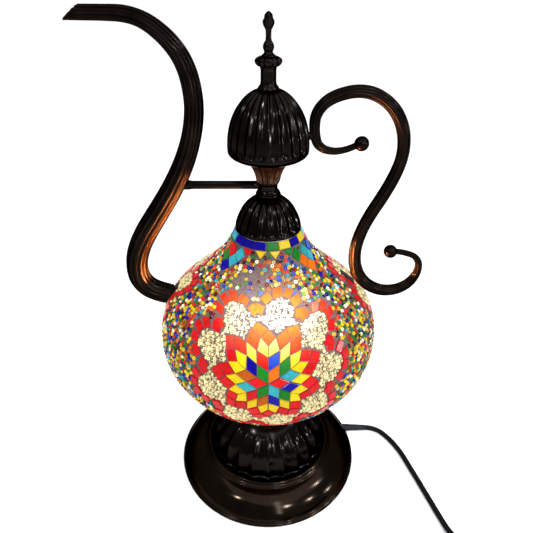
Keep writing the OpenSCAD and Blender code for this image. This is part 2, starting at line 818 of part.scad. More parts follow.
// Flat two-pin plug lying on the table, with its cord end at +X before it is turned
module plug_body() {
  color(black)
    at_plug()
      difference() {
        union() {
          translate([-17, 0, 0])
            linear_extrude(height = 14)
              polygon([
                [-18, -8.5], [-16, -10.5], [-4, -13], [13, -17.5], [17, -17.5], [17, 17.5], [13, 17.5],
                [-4, 13], [-16, 10.5], [-18, 8.5]
              ]);
        }
        translate([-36, 0, 7]) rotate([0, 90, 0]) cylinder(h = 6, r = cord_r + 0.05, $fn = 32);
      }
}

module plug_pins() {
  color(brass)
    at_plug()
      for (y = [-9.5, 9.5])
        translate([0, y, 7]) rotate([0, 90, 0]) cylinder(h = 19, r = 2, $fn = 32);
}

felt_pad();
base_cover();
base_shell();
base_weight();
base_washer();
base_nut();
pedestal();
globe_gallery();
globe_gasket();
centre_rod();
holder_bracket();
bracket_nuts();
lampholder();
holder_sleeve();
inner_lead();
bulb_cap();
bulb_glass();
globe_glass();
mosaic_skin();
top_cap();
neck_collar();
strut_bar();
funnel();
dome_bowl();
dome();
finial_base();
finial_ring();
finial_stud();
finial_spire();
spout();
spout_pad();
handle();
handle_peg();
handle_pad();
handle_ball_upper();
handle_ball_lower();
cord_bushing();
cord_lamp_side();
cord_switch_side();
cord_coil();
coil_tie();
cord_plug_side();
switch_base();
switch_cover();
switch_screws();
switch_rocker();
plug_body();
plug_pins();
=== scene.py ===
import json
import math

import bpy
import numpy as np
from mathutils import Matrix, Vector

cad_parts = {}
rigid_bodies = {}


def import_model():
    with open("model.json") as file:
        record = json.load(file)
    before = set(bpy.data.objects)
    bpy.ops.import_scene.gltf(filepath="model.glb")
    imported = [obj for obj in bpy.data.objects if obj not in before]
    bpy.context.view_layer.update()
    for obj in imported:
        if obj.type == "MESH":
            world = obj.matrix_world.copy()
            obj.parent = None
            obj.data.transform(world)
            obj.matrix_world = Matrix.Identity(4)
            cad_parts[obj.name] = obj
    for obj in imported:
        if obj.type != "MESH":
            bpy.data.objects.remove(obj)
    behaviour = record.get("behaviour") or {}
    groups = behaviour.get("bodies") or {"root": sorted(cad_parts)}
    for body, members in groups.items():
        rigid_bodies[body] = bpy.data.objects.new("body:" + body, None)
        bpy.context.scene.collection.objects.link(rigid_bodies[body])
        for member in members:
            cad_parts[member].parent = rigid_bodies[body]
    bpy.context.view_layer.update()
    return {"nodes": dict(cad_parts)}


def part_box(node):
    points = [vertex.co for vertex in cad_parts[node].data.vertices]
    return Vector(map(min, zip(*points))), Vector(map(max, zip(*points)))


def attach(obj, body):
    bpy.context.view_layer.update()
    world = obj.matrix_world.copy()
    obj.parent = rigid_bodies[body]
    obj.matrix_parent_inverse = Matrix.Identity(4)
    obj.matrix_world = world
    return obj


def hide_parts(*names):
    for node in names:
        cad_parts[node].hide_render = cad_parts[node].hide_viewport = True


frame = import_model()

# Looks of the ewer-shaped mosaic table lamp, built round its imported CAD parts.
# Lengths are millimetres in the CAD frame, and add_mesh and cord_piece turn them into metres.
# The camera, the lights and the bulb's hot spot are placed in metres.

MM = 0.001
SEED = 11
rng = np.random.default_rng(SEED)
scene = bpy.context.scene


# ---- Camera ----

CAMERA_PLACE = (-0.0015, -0.4047, 0.4977)
DEGREES_DOWN = 30.86
LENS = 33.77


def add_camera():
    """In front of the lamp and above it, looking down at the globe."""
    data = bpy.data.cameras.new("camera")
    data.sensor_width = 36
    data.lens = LENS
    camera = bpy.data.objects.new("camera", data)
    camera.location = CAMERA_PLACE
    camera.rotation_euler = (math.radians(90 - DEGREES_DOWN), 0, 0)
    scene.collection.objects.link(camera)
    scene.camera = camera


add_camera()


# ---- Curves and meshes ----

STEPS_PER_POINT = 8     # of the spout's and the handle's lines
STEPS_PER_FLUTE = 16
RIDGE_ROUNDING = 0.02
RIDGE_DROP = 0.141      # about the root of RIDGE_ROUNDING, so that the ridges keep their radius


def bottom(node):
    """The height at which a CAD node starts."""
    return round(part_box(node)[0].z / MM, 2)


def bezier(points, count):
    """count + 1 points along a cubic Bezier curve."""
    p = np.array(points, float)
    t = np.linspace(0, 1, count + 1)[:, None]
    return (1 - t) ** 3 * p[0] + 3 * (1 - t) ** 2 * t * p[1] + 3 * (1 - t) * t * t * p[2] + t ** 3 * p[3]


def spline(points, per):
    """A smooth curve through the points, with per steps between two of them."""
    p = np.array(points, float)
    p = np.vstack([p[:1], p, p[-1:]])
    t = (np.arange(per) / per)[:, None]
    parts = []
    for a, b, c, d in zip(p, p[1:], p[2:], p[3:]):
        parts.append(0.5 * (2 * b + (c - a) * t + (2 * a - 5 * b + 4 * c - d) * t * t
                            + (3 * b - a - 3 * c + d) * t ** 3))
    return np.vstack([*parts, p[-1:]])


def around(count):
    """Equally spaced angles of a whole turn."""
    return np.linspace(0, 2 * math.pi, count, endpoint=False)


def unit(v):
    return v / np.linalg.norm(v, axis=-1, keepdims=True)


def arc(centre, radius, start, end, count):
    """Points on a circle in a profile's plane, with the angles in degrees."""
    a = np.radians(np.linspace(start, end, count))
    return np.c_[centre[0] + radius * np.cos(a), centre[1] + radius * np.sin(a)]


def shifted(curve, by):
    """A [radius, height] curve moved sideways, to its right as it runs upwards."""
    d = unit(np.gradient(np.asarray(curve, float), axis=0))
    return curve + by * np.c_[d[:, 1], -d[:, 0]]


def add_mesh(name, points, faces, material, slot, body="lamp", replaces=(), sharp=60, tone=None):
    """A smooth-shaded mesh piece that rides on a CAD body and stands for CAD nodes."""
    mesh = bpy.data.meshes.new(name)
    mesh.from_pydata((np.asarray(points, float) * MM).tolist(), [], [list(f) for f in faces])
    # The tone values carry each point's glow strength, with a painted shade: darker on the beads' undersides
    # and the tiles' sides.
    if tone is not None:
        mesh.attributes.new("tone", "FLOAT", "POINT").data.foreach_set("value", np.asarray(tone, np.float32))
    mesh.shade_smooth()
    mesh.set_sharp_from_angle(angle=math.radians(sharp))
    mesh.materials.append(material)
    piece = bpy.data.objects.new(name, mesh)
    scene.collection.objects.link(piece)
    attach(piece, body)
    if replaces:
        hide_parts(*replaces)
    return piece


def grid_faces(rows, columns, closed_rows=False):
    """Quads between rings of points; each ring is closed."""
    count = rows if closed_rows else rows - 1
    i, j = np.meshgrid(np.arange(count), np.arange(columns), indexing="ij")
    k, n = (i + 1) % rows, (j + 1) % columns
    quads = np.stack([i * columns + j, i * columns + n, k * columns + n, k * columns + j], -1)
    return quads.reshape(-1, 4).tolist()


def add_rings(name, rings, material, slot, closed=False, caps=False, **options):
    """A piece from rings of points. closed joins the last ring to the first; caps fills both ends."""
    rings = np.asarray(rings, float)
    rows, columns = rings.shape[:2]
    faces = grid_faces(rows, columns, closed)
    if caps:
        faces.append(list(range(columns))[::-1])
        faces.append([(rows - 1) * columns + j for j in range(columns)])
    return add_mesh(name, rings.reshape(-1, 3), faces, material, slot, **options)


def flute_wave(angle, flutes):
    """0 on the rounded ridges between the flutes, and most in the middle of each flute."""
    return np.sqrt(np.sin(angle * flutes / 2) ** 2 + RIDGE_ROUNDING) - RIDGE_DROP


def turned_rings(profile, flutes=0, depth=0.0, columns=180):
    """Rings of a turned or fluted shape. depth is the flutes' depth, one for all or one a point."""
    profile = np.asarray(profile, float)
    a = around(columns)
    radius = profile[:, :1] - np.broadcast_to(depth, len(profile))[:, None] * flute_wave(a, flutes)
    return np.stack([radius * np.cos(a), radius * np.sin(a),
                     np.repeat(profile[:, 1:], columns, 1)], -1)


def turned(name, profile, material, slot, flutes=0, depth=0.0, columns=180, closed=False, **options):
    """A turned or fluted piece from its profile of radius and height."""
    return add_rings(name, turned_rings(profile, flutes, depth, columns), material, slot, closed, **options)


def reeded_tube(line, reeds, depth, columns, first_lean=0.0, last_lean=0.0):
    """Rings of a reeded tube along x, z, radius points in the XZ plane; its end faces may slant."""
    line = np.asarray(line, float)
    t = unit(np.gradient(line[:, :2], axis=0))
    a = around(columns)
    wave = 1 - np.abs(np.cos(a * reeds / 2))
    radius = line[:, 2:3] - depth * wave
    index = np.arange(len(line))
    reach = 1.5 * STEPS_PER_POINT
    lean = first_lean * np.maximum(0, 1 - index / reach)
    lean = lean + last_lean * np.maximum(0, 1 - index[::-1] / reach)
    x = line[:, :1] + np.cos(a) * (-t[:, 1:2] * radius + t[:, :1] * lean[:, None])
    z = line[:, 1:2] + np.cos(a) * (t[:, :1] * radius + t[:, 1:2] * lean[:, None])
    return np.stack([x, radius * np.sin(a), z], -1)


# ---- Materials ----

class Shader:
    """A material's node tree with one Principled shader."""

    def __init__(self, name):
        self.material = bpy.data.materials.new(name)
        self.material.use_nodes = True
        self.tree = self.material.node_tree
        self.shader = self.tree.nodes["Principled BSDF"]
        self.place = self.node("ShaderNodeTexCoord").outputs["Object"]

    def node(self, kind, **settings):
        made = self.tree.nodes.new(kind)
        for key, value in settings.items():
            setattr(made, key, value)
        return made

    def link(self, value, socket):
        """Puts a number, a colour or another socket into a socket."""
        if isinstance(value, bpy.types.NodeSocket):
            self.tree.links.new(value, socket)
        elif socket.type == "RGBA":
            socket.default_value = (*value, 1)
        else:
            socket.default_value = value

    def put(self, **values):
        """Sets the shader's inputs, named with underscores for spaces."""
        for key, value in values.items():
            self.link(value, self.shader.inputs[key.replace("_", " ")])

    def noise(self, scale, detail=4.0, roughness=0.55):
        made = self.node("ShaderNodeTexNoise")
        self.link(self.place, made.inputs["Vector"])
        for key, value in (("Scale", scale), ("Detail", detail), ("Roughness", roughness)):
            made.inputs[key].default_value = value
        return made.outputs["Fac"]

    def ramp(self, fac, *stops):
        """A colour ramp; each stop is (place, colour)."""
        made = self.node("ShaderNodeValToRGB")
        self.link(fac, made.inputs["Fac"])
        elements = made.color_ramp.elements
        while len(elements) < len(stops):
            elements.new(0.5)
        for element, (place, colour) in zip(elements, stops):
            element.position = place
            element.color = (*colour, 1)
        return made.outputs["Color"]

    def span(self, fac, low, high, start=0.3, end=0.7):
        """Maps a noise to the values between low and high."""
        made = self.node("ShaderNodeMapRange")
        inputs = {"Value": fac, "From Min": start, "From Max": end, "To Min": low, "To Max": high}
        for key, value in inputs.items():
            self.link(value, made.inputs[key])
        return made.outputs["Result"]

    def math(self, operation, *values):
        made = self.node("ShaderNodeMath", operation=operation)
        for socket, value in zip(made.inputs, values):
            self.link(value, socket)
        return made.outputs["Value"]

    def bump(self, height, strength, distance=0.0004):
        made = self.node("ShaderNodeBump")
        made.inputs["Strength"].default_value = strength
        made.inputs["Distance"].default_value = distance
        self.link(height, made.inputs["Height"])
        self.link(made.outputs["Normal"], self.shader.inputs["Normal"])

    def unsampled(self):
        """The material, with its glow left out of the direct light sampling."""
        self.material.cycles.emission_sampling = "NONE"
        return self.material


def surface(name, dark, light, rough, metal=0.0, grain=90.0, bump=0.15, edge=(1, 1, 1), gloss=0.5):
    """A solid material with uneven colour and gloss and a fine bump. rough is (least, most)."""
    s = Shader(name)
    grain_noise = s.noise(grain, 8, 0.6)
    s.put(Base_Color=s.ramp(grain_noise, (0.3, dark), (0.72, light)),
          Roughness=s.span(s.noise(grain * 0.4, 5), *rough), Metallic=metal,
          Specular_Tint=edge, Specular_IOR_Level=gloss)
    s.bump(s.noise(grain * 6, 3), bump)
    return s.material


def lacquer(name, dark, light, rough, grain, bump, edge=(0.22, 0.17, 0.15)):
    """Dark metal whose reflections stay dim at grazing angles."""
    return surface(name, dark, light, rough, 1.0, grain, bump, edge)


bronze = lacquer("dark_lacquer", (0.0046, 0.0038, 0.0035), (0.01, 0.0082, 0.0072), (0.12, 0.19), 55, 0.01)
spun = lacquer("spun_lacquer", (0.006, 0.0042, 0.003), (0.016, 0.0105, 0.0075), (0.1, 0.17), 30, 0.01)
cast = lacquer("cast_lacquer", (0.0032, 0.0024, 0.002), (0.0085, 0.006, 0.0048), (0.17, 0.27), 70, 0.06)
copper = lacquer("rubbed_copper", (0.01, 0.005, 0.003), (0.1, 0.045, 0.026), (0.26, 0.4), 160, 0.12,
                 (0.4, 0.25, 0.2))
steel = surface("zinc_plate", (0.32, 0.32, 0.33), (0.58, 0.58, 0.6), (0.25, 0.45), 1.0, 120, 0.1)
iron = surface("cast_iron", (0.03, 0.03, 0.032), (0.1, 0.1, 0.1), (0.55, 0.8), 0.8, 140, 0.6)
brass = surface("brass", (0.42, 0.28, 0.09), (0.72, 0.52, 0.2), (0.2, 0.36), 1.0, 130, 0.08)
rubber = surface("rubber", (0.002, 0.002, 0.0022), (0.006, 0.006, 0.0063), (0.5, 0.66), 0.0, 220, 0.25,
                 gloss=0.2)
cord_skin = surface("cord_pvc", (0.002, 0.002, 0.0022), (0.005, 0.005, 0.0053), (0.3, 0.42), 0.0, 150, 0.12,
                    gloss=0.05)
plastic = surface("black_plastic", (0.003, 0.003, 0.0033), (0.009, 0.009, 0.0095), (0.3, 0.42), 0.0, 260,
                  0.2, gloss=0.25)
strap = surface("strap", (0.004, 0.004, 0.0043), (0.02, 0.02, 0.0205), (0.7, 0.85), 0.0, 900, 0.8,
                gloss=0.15)
rocker = surface("rocker_red", (0.42, 0.012, 0.01), (0.62, 0.03, 0.022), (0.25, 0.36), 0.0, 150, 0.06)
porcelain = surface("holder_plastic", (0.62, 0.58, 0.5), (0.82, 0.79, 0.72), (0.35, 0.5), 0.0, 90, 0.1)
lead_sheath = surface("lead_sheath", (0.55, 0.53, 0.48), (0.8, 0.78, 0.72), (0.4, 0.55), 0.0, 120, 0.1)
felt = surface("felt", (0.006, 0.014, 0.008), (0.03, 0.055, 0.034), (0.9, 1.0), 0.0, 700, 1.0)

# Where the bulb shows through the glass, and how the glass brightens towards it
HOT_SPOT = (0.003, -0.036, 0.213)
HOT_REACH = 0.066
HOT_STEEPNESS = 5.0
GLASS_NEAR, GLASS_EVEN, GLASS_MOST = 0.46, 0.77, 2.8
GROUT_NEAR, GROUT_MOST = 0.24, 0.75
GLASS_GRAIN = 420.0


def linear(*rgb):
    """Linear colour from the 0 to 255 values that a screen shows."""
    return tuple(((c / 255 + 0.055) / 1.055) ** 2.4 if c > 10 else c / 255 / 12.92 for c in rgb)


def nearness(s):
    """1 at the hot spot's reach, rising steeply inside it and falling outside."""
    away = s.node("ShaderNodeVectorMath", operation="DISTANCE")
    s.link(s.place, away.inputs[0])
    away.inputs[1].default_value = HOT_SPOT
    return s.math("POWER", s.math("DIVIDE", HOT_REACH, away.outputs["Value"]), HOT_STEEPNESS)


def glow(name, colour, hot, gain):
    """Glass lit from behind: it glows in its own colour, and pales to hot where the bulb is near."""
    s = Shader(name)
    light = s.math("MINIMUM", s.math("MULTIPLY_ADD", nearness(s), GLASS_NEAR, GLASS_EVEN), GLASS_MOST)
    # Each point's glow is scaled by its tone values: a random spread between pieces times a painted shade on
    # the beads' undersides and the tiles' sides.
    tone = s.node("ShaderNodeAttribute", attribute_name="tone").outputs["Fac"]
    streaks = s.span(s.noise(GLASS_GRAIN, 5, 0.65), 0.78, 1.14)
    strength = s.math("MULTIPLY", s.math("MULTIPLY", light, streaks), s.math("MULTIPLY", tone, gain))
    dark = tuple(c * 0.08 for c in colour)
    s.put(Base_Color=s.ramp(s.noise(GLASS_GRAIN * 0.5), (0.3, tuple(c * 0.3 for c in dark)), (0.7, dark)),
          Roughness=s.span(s.noise(GLASS_GRAIN), 0.14, 0.28), Specular_IOR_Level=0.07,
          Emission_Color=s.ramp(s.span(light, 0.0, 1.0, 1.2, 2.6), (0.12, colour), (1.0, hot)),
          Emission_Strength=strength)
    s.bump(s.noise(GLASS_GRAIN * 1.5, 3), 0.25, 0.0002)
    return s.unsampled()


# Each glass's own colour, its paler one near the bulb, as a screen shows them, and its strength
GLASS_LOOKS = {
    "red": ((222, 26, 30), (255, 150, 60), 1.0),
    "orange": ((236, 112, 24), (255, 214, 120), 1.0),
    "amber": ((196, 92, 22), (255, 190, 90), 1.0),
    "yellow": ((246, 212, 24), (255, 246, 190), 1.0),
    "green": ((22, 128, 34), (150, 220, 90), 1.0),
    "turquoise": ((58, 172, 186), (190, 240, 235), 1.0),
    "blue": ((34, 70, 196), (120, 150, 255), 1.0),
    "navy": ((18, 12, 150), (50, 50, 220), 1.0),
    "brown": ((74, 22, 14), (170, 70, 30), 1.0),
    "cream": ((252, 232, 172), (255, 252, 232), 1.12),
    "clear": ((252, 244, 216), (255, 255, 246), 1.1),
}
GLASS = {name: glow(f"glass_{name}", linear(*own), linear(*hot), gain)
         for name, (own, hot, gain) in GLASS_LOOKS.items()}


def grout_material():
    """Dull pinkish grout that the light shines through a little."""
    s = Shader("grout")
    grain_noise = s.noise(500, 6)
    s.put(Base_Color=s.ramp(grain_noise, (0.3, linear(26, 20, 16)), (0.7, linear(64, 50, 44))),
          Roughness=s.span(s.noise(300), 0.7, 0.95),
          Emission_Color=s.ramp(grain_noise, (0.3, linear(160, 124, 122)), (0.7, linear(206, 176, 176))),
          Emission_Strength=s.math("MINIMUM", s.math("MULTIPLY", nearness(s), GROUT_NEAR), GROUT_MOST))
    s.bump(s.noise(900, 4), 0.7, 0.0005)
    return s.unsampled()


def frosted_material():
    """Blown glass, frosted inside and lit by the bulb."""
    s = Shader("frosted_glass")
    veil = s.noise(60, 5)
    s.put(Base_Color=s.ramp(veil, (0.3, (0.5, 0.44, 0.36)), (0.7, (0.75, 0.68, 0.56))),
          Roughness=s.span(s.noise(140), 0.25, 0.5), Transmission_Weight=0.35,
          Emission_Color=s.ramp(veil, (0.3, (0.9, 0.6, 0.3)), (0.7, (1.0, 0.78, 0.48))),
          Emission_Strength=s.span(veil, 0.03, 0.06))
    s.bump(s.noise(220, 4), 0.15)
    return s.unsampled()


def bulb_material():
    """Opal glass, evenly lit."""
    s = Shader("opal_bulb")
    veil = s.noise(80, 4)
    s.put(Base_Color=s.ramp(veil, (0.3, (0.85, 0.83, 0.78)), (0.7, (0.95, 0.93, 0.88))),
          Roughness=s.span(veil, 0.2, 0.35),
          Emission_Color=s.ramp(veil, (0.3, (1.0, 0.74, 0.44)), (0.7, (1.0, 0.86, 0.62))),
          Emission_Strength=s.span(veil, 7.0, 10.0))
    return s.unsampled()


grout = grout_material()
frosted = frosted_material()
opal = bulb_material()


# ---- Cord, switch and plug ----

# Out of the base, through the switch, round the coil and into the plug
CORD_R = 3.0
CORD_EXIT = (100, 29, 4.2)
LAMP_SIDE = [
    (121, 29, 4.2), (130, 28.2, 3.4), (138, 24.5, 3), (145, 17, 3), (151, 7.5, 3), (156.5, -4, 3),
    (160.5, -16, 3), (164, -29, 3), (168, -43, 3), (172, -58, 3), (176, -73, 3), (180, -88, 3),
    (184, -102, 3.4), (187.5, -112, 5.5), (188, -117, 6.5),
]
SWITCH_SIDE = [
    (188, -175, 6.5), (188, -181, 5.5), (184.5, -191, 3.6), (177, -200, 3.3), (166, -206.5, 3.5),
    (152, -209.3, 3.8), (138, -209.2, 3.8),
]
PLUG_SIDE = [
    (112, -209, 9.5), (101, -207.6, 8.7), (92, -204.4, 7.9), (84, -201.7, 7.3), (76, -199.6, 7),
    (69.4, -197.8, 7),
]
COIL = (124, -167)
COIL_OUTER = 42.0
TURNS, STEPS_PER_TURN = 6, 20
LAYER_Z = (3.8, 9.8)
# Where along the winding, in degrees, it steps inwards, climbs to the upper layer and steps outwards
STEPS_IN = [(270, 330), (630, 690), (990, 1022)]
CLIMB = (1015, 1070)
STEPS_OUT = [(1080, 1130), (1440, 1490), (1800, 1850)]
SWITCH = (188, -146)
PLUG = (40.2, -190)
PLUG_ANGLE = math.radians(165)


def ease(at, start, end):
    """0 before start, 1 after end, smooth between them."""
    t = min(1.0, max(0.0, (at - start) / (end - start)))
    return t * t * (3 - 2 * t)


def coil_route():
    """Six turns in two layers. The lower layer winds inwards, and the upper one out again."""
    route = []
    for i in range(TURNS * STEPS_PER_TURN + 1):
        turned_by = 360 * i / STEPS_PER_TURN
        inwards = sum(ease(turned_by, *step) for step in STEPS_IN)
        outwards = sum(ease(turned_by, *step) for step in STEPS_OUT)
        radius = COIL_OUTER - 2 * CORD_R * (inwards - outwards)
        z = LAYER_Z[0] + (LAYER_Z[1] - LAYER_Z[0]) * ease(turned_by, *CLIMB)
        a = math.radians(-90 - turned_by)
        route.append((COIL[0] + radius * math.cos(a), COIL[1] + radius * math.sin(a), z))
    return route


THROUGH_SWITCH = [(188, -131, 6.5), (188, -146, 6.5), (188, -161, 6.5)]
CORD_ROUTE = [CORD_EXIT, (110, 29, 4.2), *LAMP_SIDE, *THROUGH_SWITCH, *SWITCH_SIDE, *coil_route(),
              *PLUG_SIDE]


def cord_piece():
    """The whole cord as one smooth tube, and its length in metres."""
    line = spline(CORD_ROUTE, 4) * MM
    data = bpy.data.curves.new("mains_cord", "CURVE")
    data.dimensions = "3D"
    data.bevel_depth = CORD_R * MM
    data.bevel_resolution = 3
    data.use_fill_caps = True
    data.splines.new("POLY").points.add(len(line) - 1)
    data.splines[0].points.foreach_set("co", np.c_[line, np.ones(len(line))].ravel())
    data.splines[0].use_smooth = True
    data.materials.append(cord_skin)
    piece = bpy.data.objects.new("mains_cord", data)
    scene.collection.objects.link(piece)
    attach(piece, "lamp")
    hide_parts("cord_lamp_side", "cord_switch_side", "cord_coil", "cord_plug_side")
    length = float(np.linalg.norm(np.diff(line, axis=0), axis=1).sum())
    return piece, length


def bushing_piece():
    """Tapered strain relief with flex grooves, along +X out of the base."""
    start, end = 92.6, 121.0
    y, z = CORD_EXIT[1:]
    x = np.linspace(start, end, 90)
    taper = np.interp(x, [start, 102, 103, 110, end], [4.1, 4.1, 3.9, 3.75, 3.25])
    groove = 0.28 * np.clip(np.sin((x - 103) * 2 * math.pi / 3.2), 0, 1) * (x > 103) * (x < 119)
    profile = np.c_[np.r_[0.5, taper - groove, 3.05], np.r_[start, x, end + 0.1]]
    rings = turned_rings(profile, columns=40)
    placed = np.stack([rings[..., 2], y + rings[..., 0], z + rings[..., 1]], -1)
    return add_rings("strain_relief", placed, rubber, "rubber", caps=True, replaces=["cord_bushing"])


def outline(half_x, half_y, power, count=96):
    """A rounded rectangle as a superellipse, seen from above."""
    a = around(count)
    r = (np.abs(np.cos(a) / half_x) ** power + np.abs(np.sin(a) / half_y) ** power) ** (-1 / power)
    return np.c_[r * np.cos(a), r * np.sin(a)]


def switch_rings(levels):
    """Rings of the switch from (outline, z) levels."""
    return [np.c_[o + np.array(SWITCH), np.full(len(o), z)] for o, z in levels]


def switch_pieces():
    """The inline switch's two shells. The upper one has a raised rim round the rocker's hole."""
    half_x, half_y = 13.5, 29.0

    def body(inset):
        return outline(half_x - inset, half_y - inset, 4.2)

    def hole(grow):
        return outline(5.4 + grow, 9 + grow, 14)

    lower = switch_rings([
        (body(2.2), 0), (body(0.8), 0.1), (body(0.15), 0.7), (body(0), 2), (body(0), 5.9), (body(0.3), 6.3),
        (body(0.7), 6.5)])
    upper = switch_rings([
        (body(0.7), 6.55), (body(0.3), 6.8), (body(0), 7.2), (body(0.05), 11.8), (body(0.35), 13.6),
        (body(1.0), 15), (body(2.2), 15.8), (body(3.4), 16), (hole(1.9), 16), (hole(1.2), 16.4),
        (hole(0.5), 16.4), (hole(0), 16), (hole(0), 10.5)])
    return [add_rings("switch_lower", lower, plastic, "black_plastic", caps=True, replaces=["switch_base"]),
            add_rings("switch_upper", upper, plastic, "black_plastic", replaces=["switch_cover"])]


PLUG_MID_Z = 7
PIN_SPACING = 19.0


def plug_placed(rings):
    """Turns points in the plug's own frame, with the pins along +X, to its place on the table."""
    rings = np.asarray(rings, float).copy()
    c, s = math.cos(PLUG_ANGLE), math.sin(PLUG_ANGLE)
    rings[..., :2] = rings[..., :2] @ np.array([[c, s], [-s, c]]) + np.array(PLUG)
    return rings


def plug_body_piece():
    """A flat moulded plug body with grip ribs."""
    x = np.r_[-35, np.linspace(-34.6, -0.5, 90), 0]
    wide = np.interp(x, [-35, -34.5, -33, -21, -4, -1.2, 0], [6.8, 8.2, 10.2, 13, 17.3, 17.3, 15.8])
    high = np.interp(x, [-35, -34.4, -32, -1.6, 0], [4.4, 5.8, 6.9, 6.9, 5.4])
    rib = 0.5 * np.clip(np.sin((x + 30) * 2 * math.pi / 3.4), 0, 1) * (x > -30) * (x < -13)
    rings = []
    for at, w, h, r in zip(x, wide, high, rib):
        section = outline(w - r, h - r * 0.4, 3.2, 72)
        rings.append(np.c_[np.full(72, at), section[:, 0], PLUG_MID_Z + section[:, 1]])
    return add_rings("plug_moulding", plug_placed(rings), plastic, "black_plastic", caps=True,
                     replaces=["plug_body"])


def plug_pins_piece():
    """Two round pins with rounded ends, as one mesh."""
    profile = [(2, -0.5), (2, 16.6), (1.9, 17.8), (1.3, 18.7), (0.4, 19)]
    rows, columns = len(profile), 32
    ring = turned_rings(profile, columns=columns)
    pins = [np.stack([ring[..., 2], side + ring[..., 0], PLUG_MID_Z + ring[..., 1]], -1)
            for side in (-PIN_SPACING / 2, PIN_SPACING / 2)]
    points = plug_placed(np.vstack([p.reshape(-1, 3) for p in pins]))
    first = grid_faces(rows, columns) + [[(rows - 1) * columns + j for j in range(columns)]]
    second = [[i + rows * columns for i in face] for face in first]
    return add_mesh("plug_pin_pair", points, first + second, brass, "pin_metal", replaces=["plug_pins"])


def strap_piece():
    """Hook-and-loop strap round the bundle of turns."""
    half_wide, half_high, half_y, thick = 5, 7.05, 9.75, 0.62
    centre = np.array([COIL[1] + 36, half_high])
    section = [(-half_wide, 0.1), (-half_wide, thick - 0.1), (-4.8, thick), (4.8, thick),
               (half_wide, thick - 0.1), (half_wide, 0.1), (4.8, 0), (-4.8, 0)]
    rings = []
    for x, grow in section:
        loop = centre + outline(half_y + grow, half_high - thick + grow, 5.0, 80)
        rings.append(np.c_[np.full(80, COIL[0] + x), loop])
    return add_rings("coil_strap", rings, strap, "rubber", closed=True, replaces=["coil_tie"])


mains_cord, cord_length = cord_piece()
cord_mates = [bushing_piece(), *switch_pieces(), plug_body_piece(), plug_pins_piece(), strap_piece(),
              frame["nodes"]["switch_rocker"], frame["nodes"]["switch_screws"]]


# ---- Base and pedestal ----

def bronze_turned(name, node, profile, **options):
    """A turned or fluted bronze piece whose profile is a closed loop, in place of one CAD node."""
    turned(name, profile, bronze, "bronze", closed=True, replaces=[node], **options)


def base_piece():
    """The spun base: a rolled rim, a slope, a raised ring and a flat top, hollow below."""
    rim = arc((97.6, 3), 2.35, -200, 92, 40)
    slope = bezier([(97.3, 5.35), (93, 15), (84, 23), (73.4, 25.2)], 40)[1:]
    step = spline([(73.4, 25.2), (72.2, 25.7), (71.5, 26.9), (70.1, 27.7), (69.4, 28.9), (68.4, 29.9),
                   (67, 30.1), (65.6, 29.7), (64.9, 28.7), (64, 28.2)], 5)[1:]
    top = [(50, 28.2), (20, 28.2), (5.6, 28.2), (5.4, 26.6), (60, 26.6), (72, 23.8)]
    inside = shifted(slope, -1.6)[::-1]
    profile = np.vstack([rim, slope, step, top, inside[:-2], [(95.2, 4.4)]])
    turned("base_spinning", profile, spun, "bronze", columns=256, closed=True, replaces=["base_shell"])


def dome_radius(radius, u, power):
    """Radii of a dome at heights u, from 0 at its widest place to 1 at its top."""
    return radius * np.sqrt(np.maximum(0, 1 - u ** power))


def pedestal_piece():
    """A fluted dome on a small moulding, open below."""
    widest, rise, foot, flutes, flute_depth = 63.5, 50.0, 34.2, 24, 2.6
    u = np.sin(np.radians(np.linspace(0, 83.5, 70)))
    radius = dome_radius(widest, u, 2.2)
    moulding = [(62.2, 28.25), (63.3, 28.6), (63.3, 29.4), (62.2, 30.0), (63.0, 31.6)]
    inside = [(5.4, 84.2), (5.4, 82.4), (40, 78), (57, 45), (59, 28.25)]
    profile = np.vstack([moulding, np.c_[radius, foot + rise * u], inside])
    depth = np.r_[np.full(len(moulding), flute_depth), flute_depth * np.minimum(1, radius / 40),
                  np.zeros(len(inside))]
    bronze_turned("pedestal_fluted", "pedestal", profile, flutes=flutes, depth=depth,
                  columns=flutes * STEPS_PER_FLUTE)


def gallery_piece():
    """The turned seat that carries the globe."""
    outer = spline([(20, 0), (22.5, 1.2), (22.5, 2.6), (19.5, 4), (13.5, 5.6), (11.6, 9), (12.2, 12),
                    (15.5, 15), (24, 18), (36, 20.4), (44.6, 22.4), (46.4, 24), (46.8, 26.4), (46, 27),
                    (45.2, 26.4), (44.6, 24.4), (43.8, 22.8)], 5)
    profile = np.vstack([[(5.4, 0)], outer, [(36, 22.8), (34, 21.6), (22, 19.6), (13.6, 16.6), (5.4, 15)]])
    bronze_turned("gallery_turned", "globe_gallery", profile + (0, bottom("globe_gallery")))


base_piece()
pedestal_piece()
gallery_piece()


# ---- Cap, neck, funnel, dome and finial ----

def rounded_flutes(profile, widest, flutes, depth, end_z, run):
    """Rings of a fluted dome whose flutes end in rounded tips at end_z; run is a tip's height."""
    columns = flutes * STEPS_PER_FLUTE
    rings = turned_rings(profile, columns=columns)
    a = around(columns)
    up = np.clip((rings[..., 2] - end_z) / run, 0, 1)
    closing = np.sqrt(1 - (1 - up) ** 2)
    share = np.clip(flute_wave(a, flutes) - (1 - closing), 0, 1)
    taper = np.minimum(1, np.asarray(profile)[:, :1] / (widest * 0.6))
    radius = np.asarray(profile)[:, :1] - depth * share * taper * (rings[..., 2] > end_z)
    rings[..., 0] = radius * np.cos(a)
    rings[..., 1] = radius * np.sin(a)
    return rings


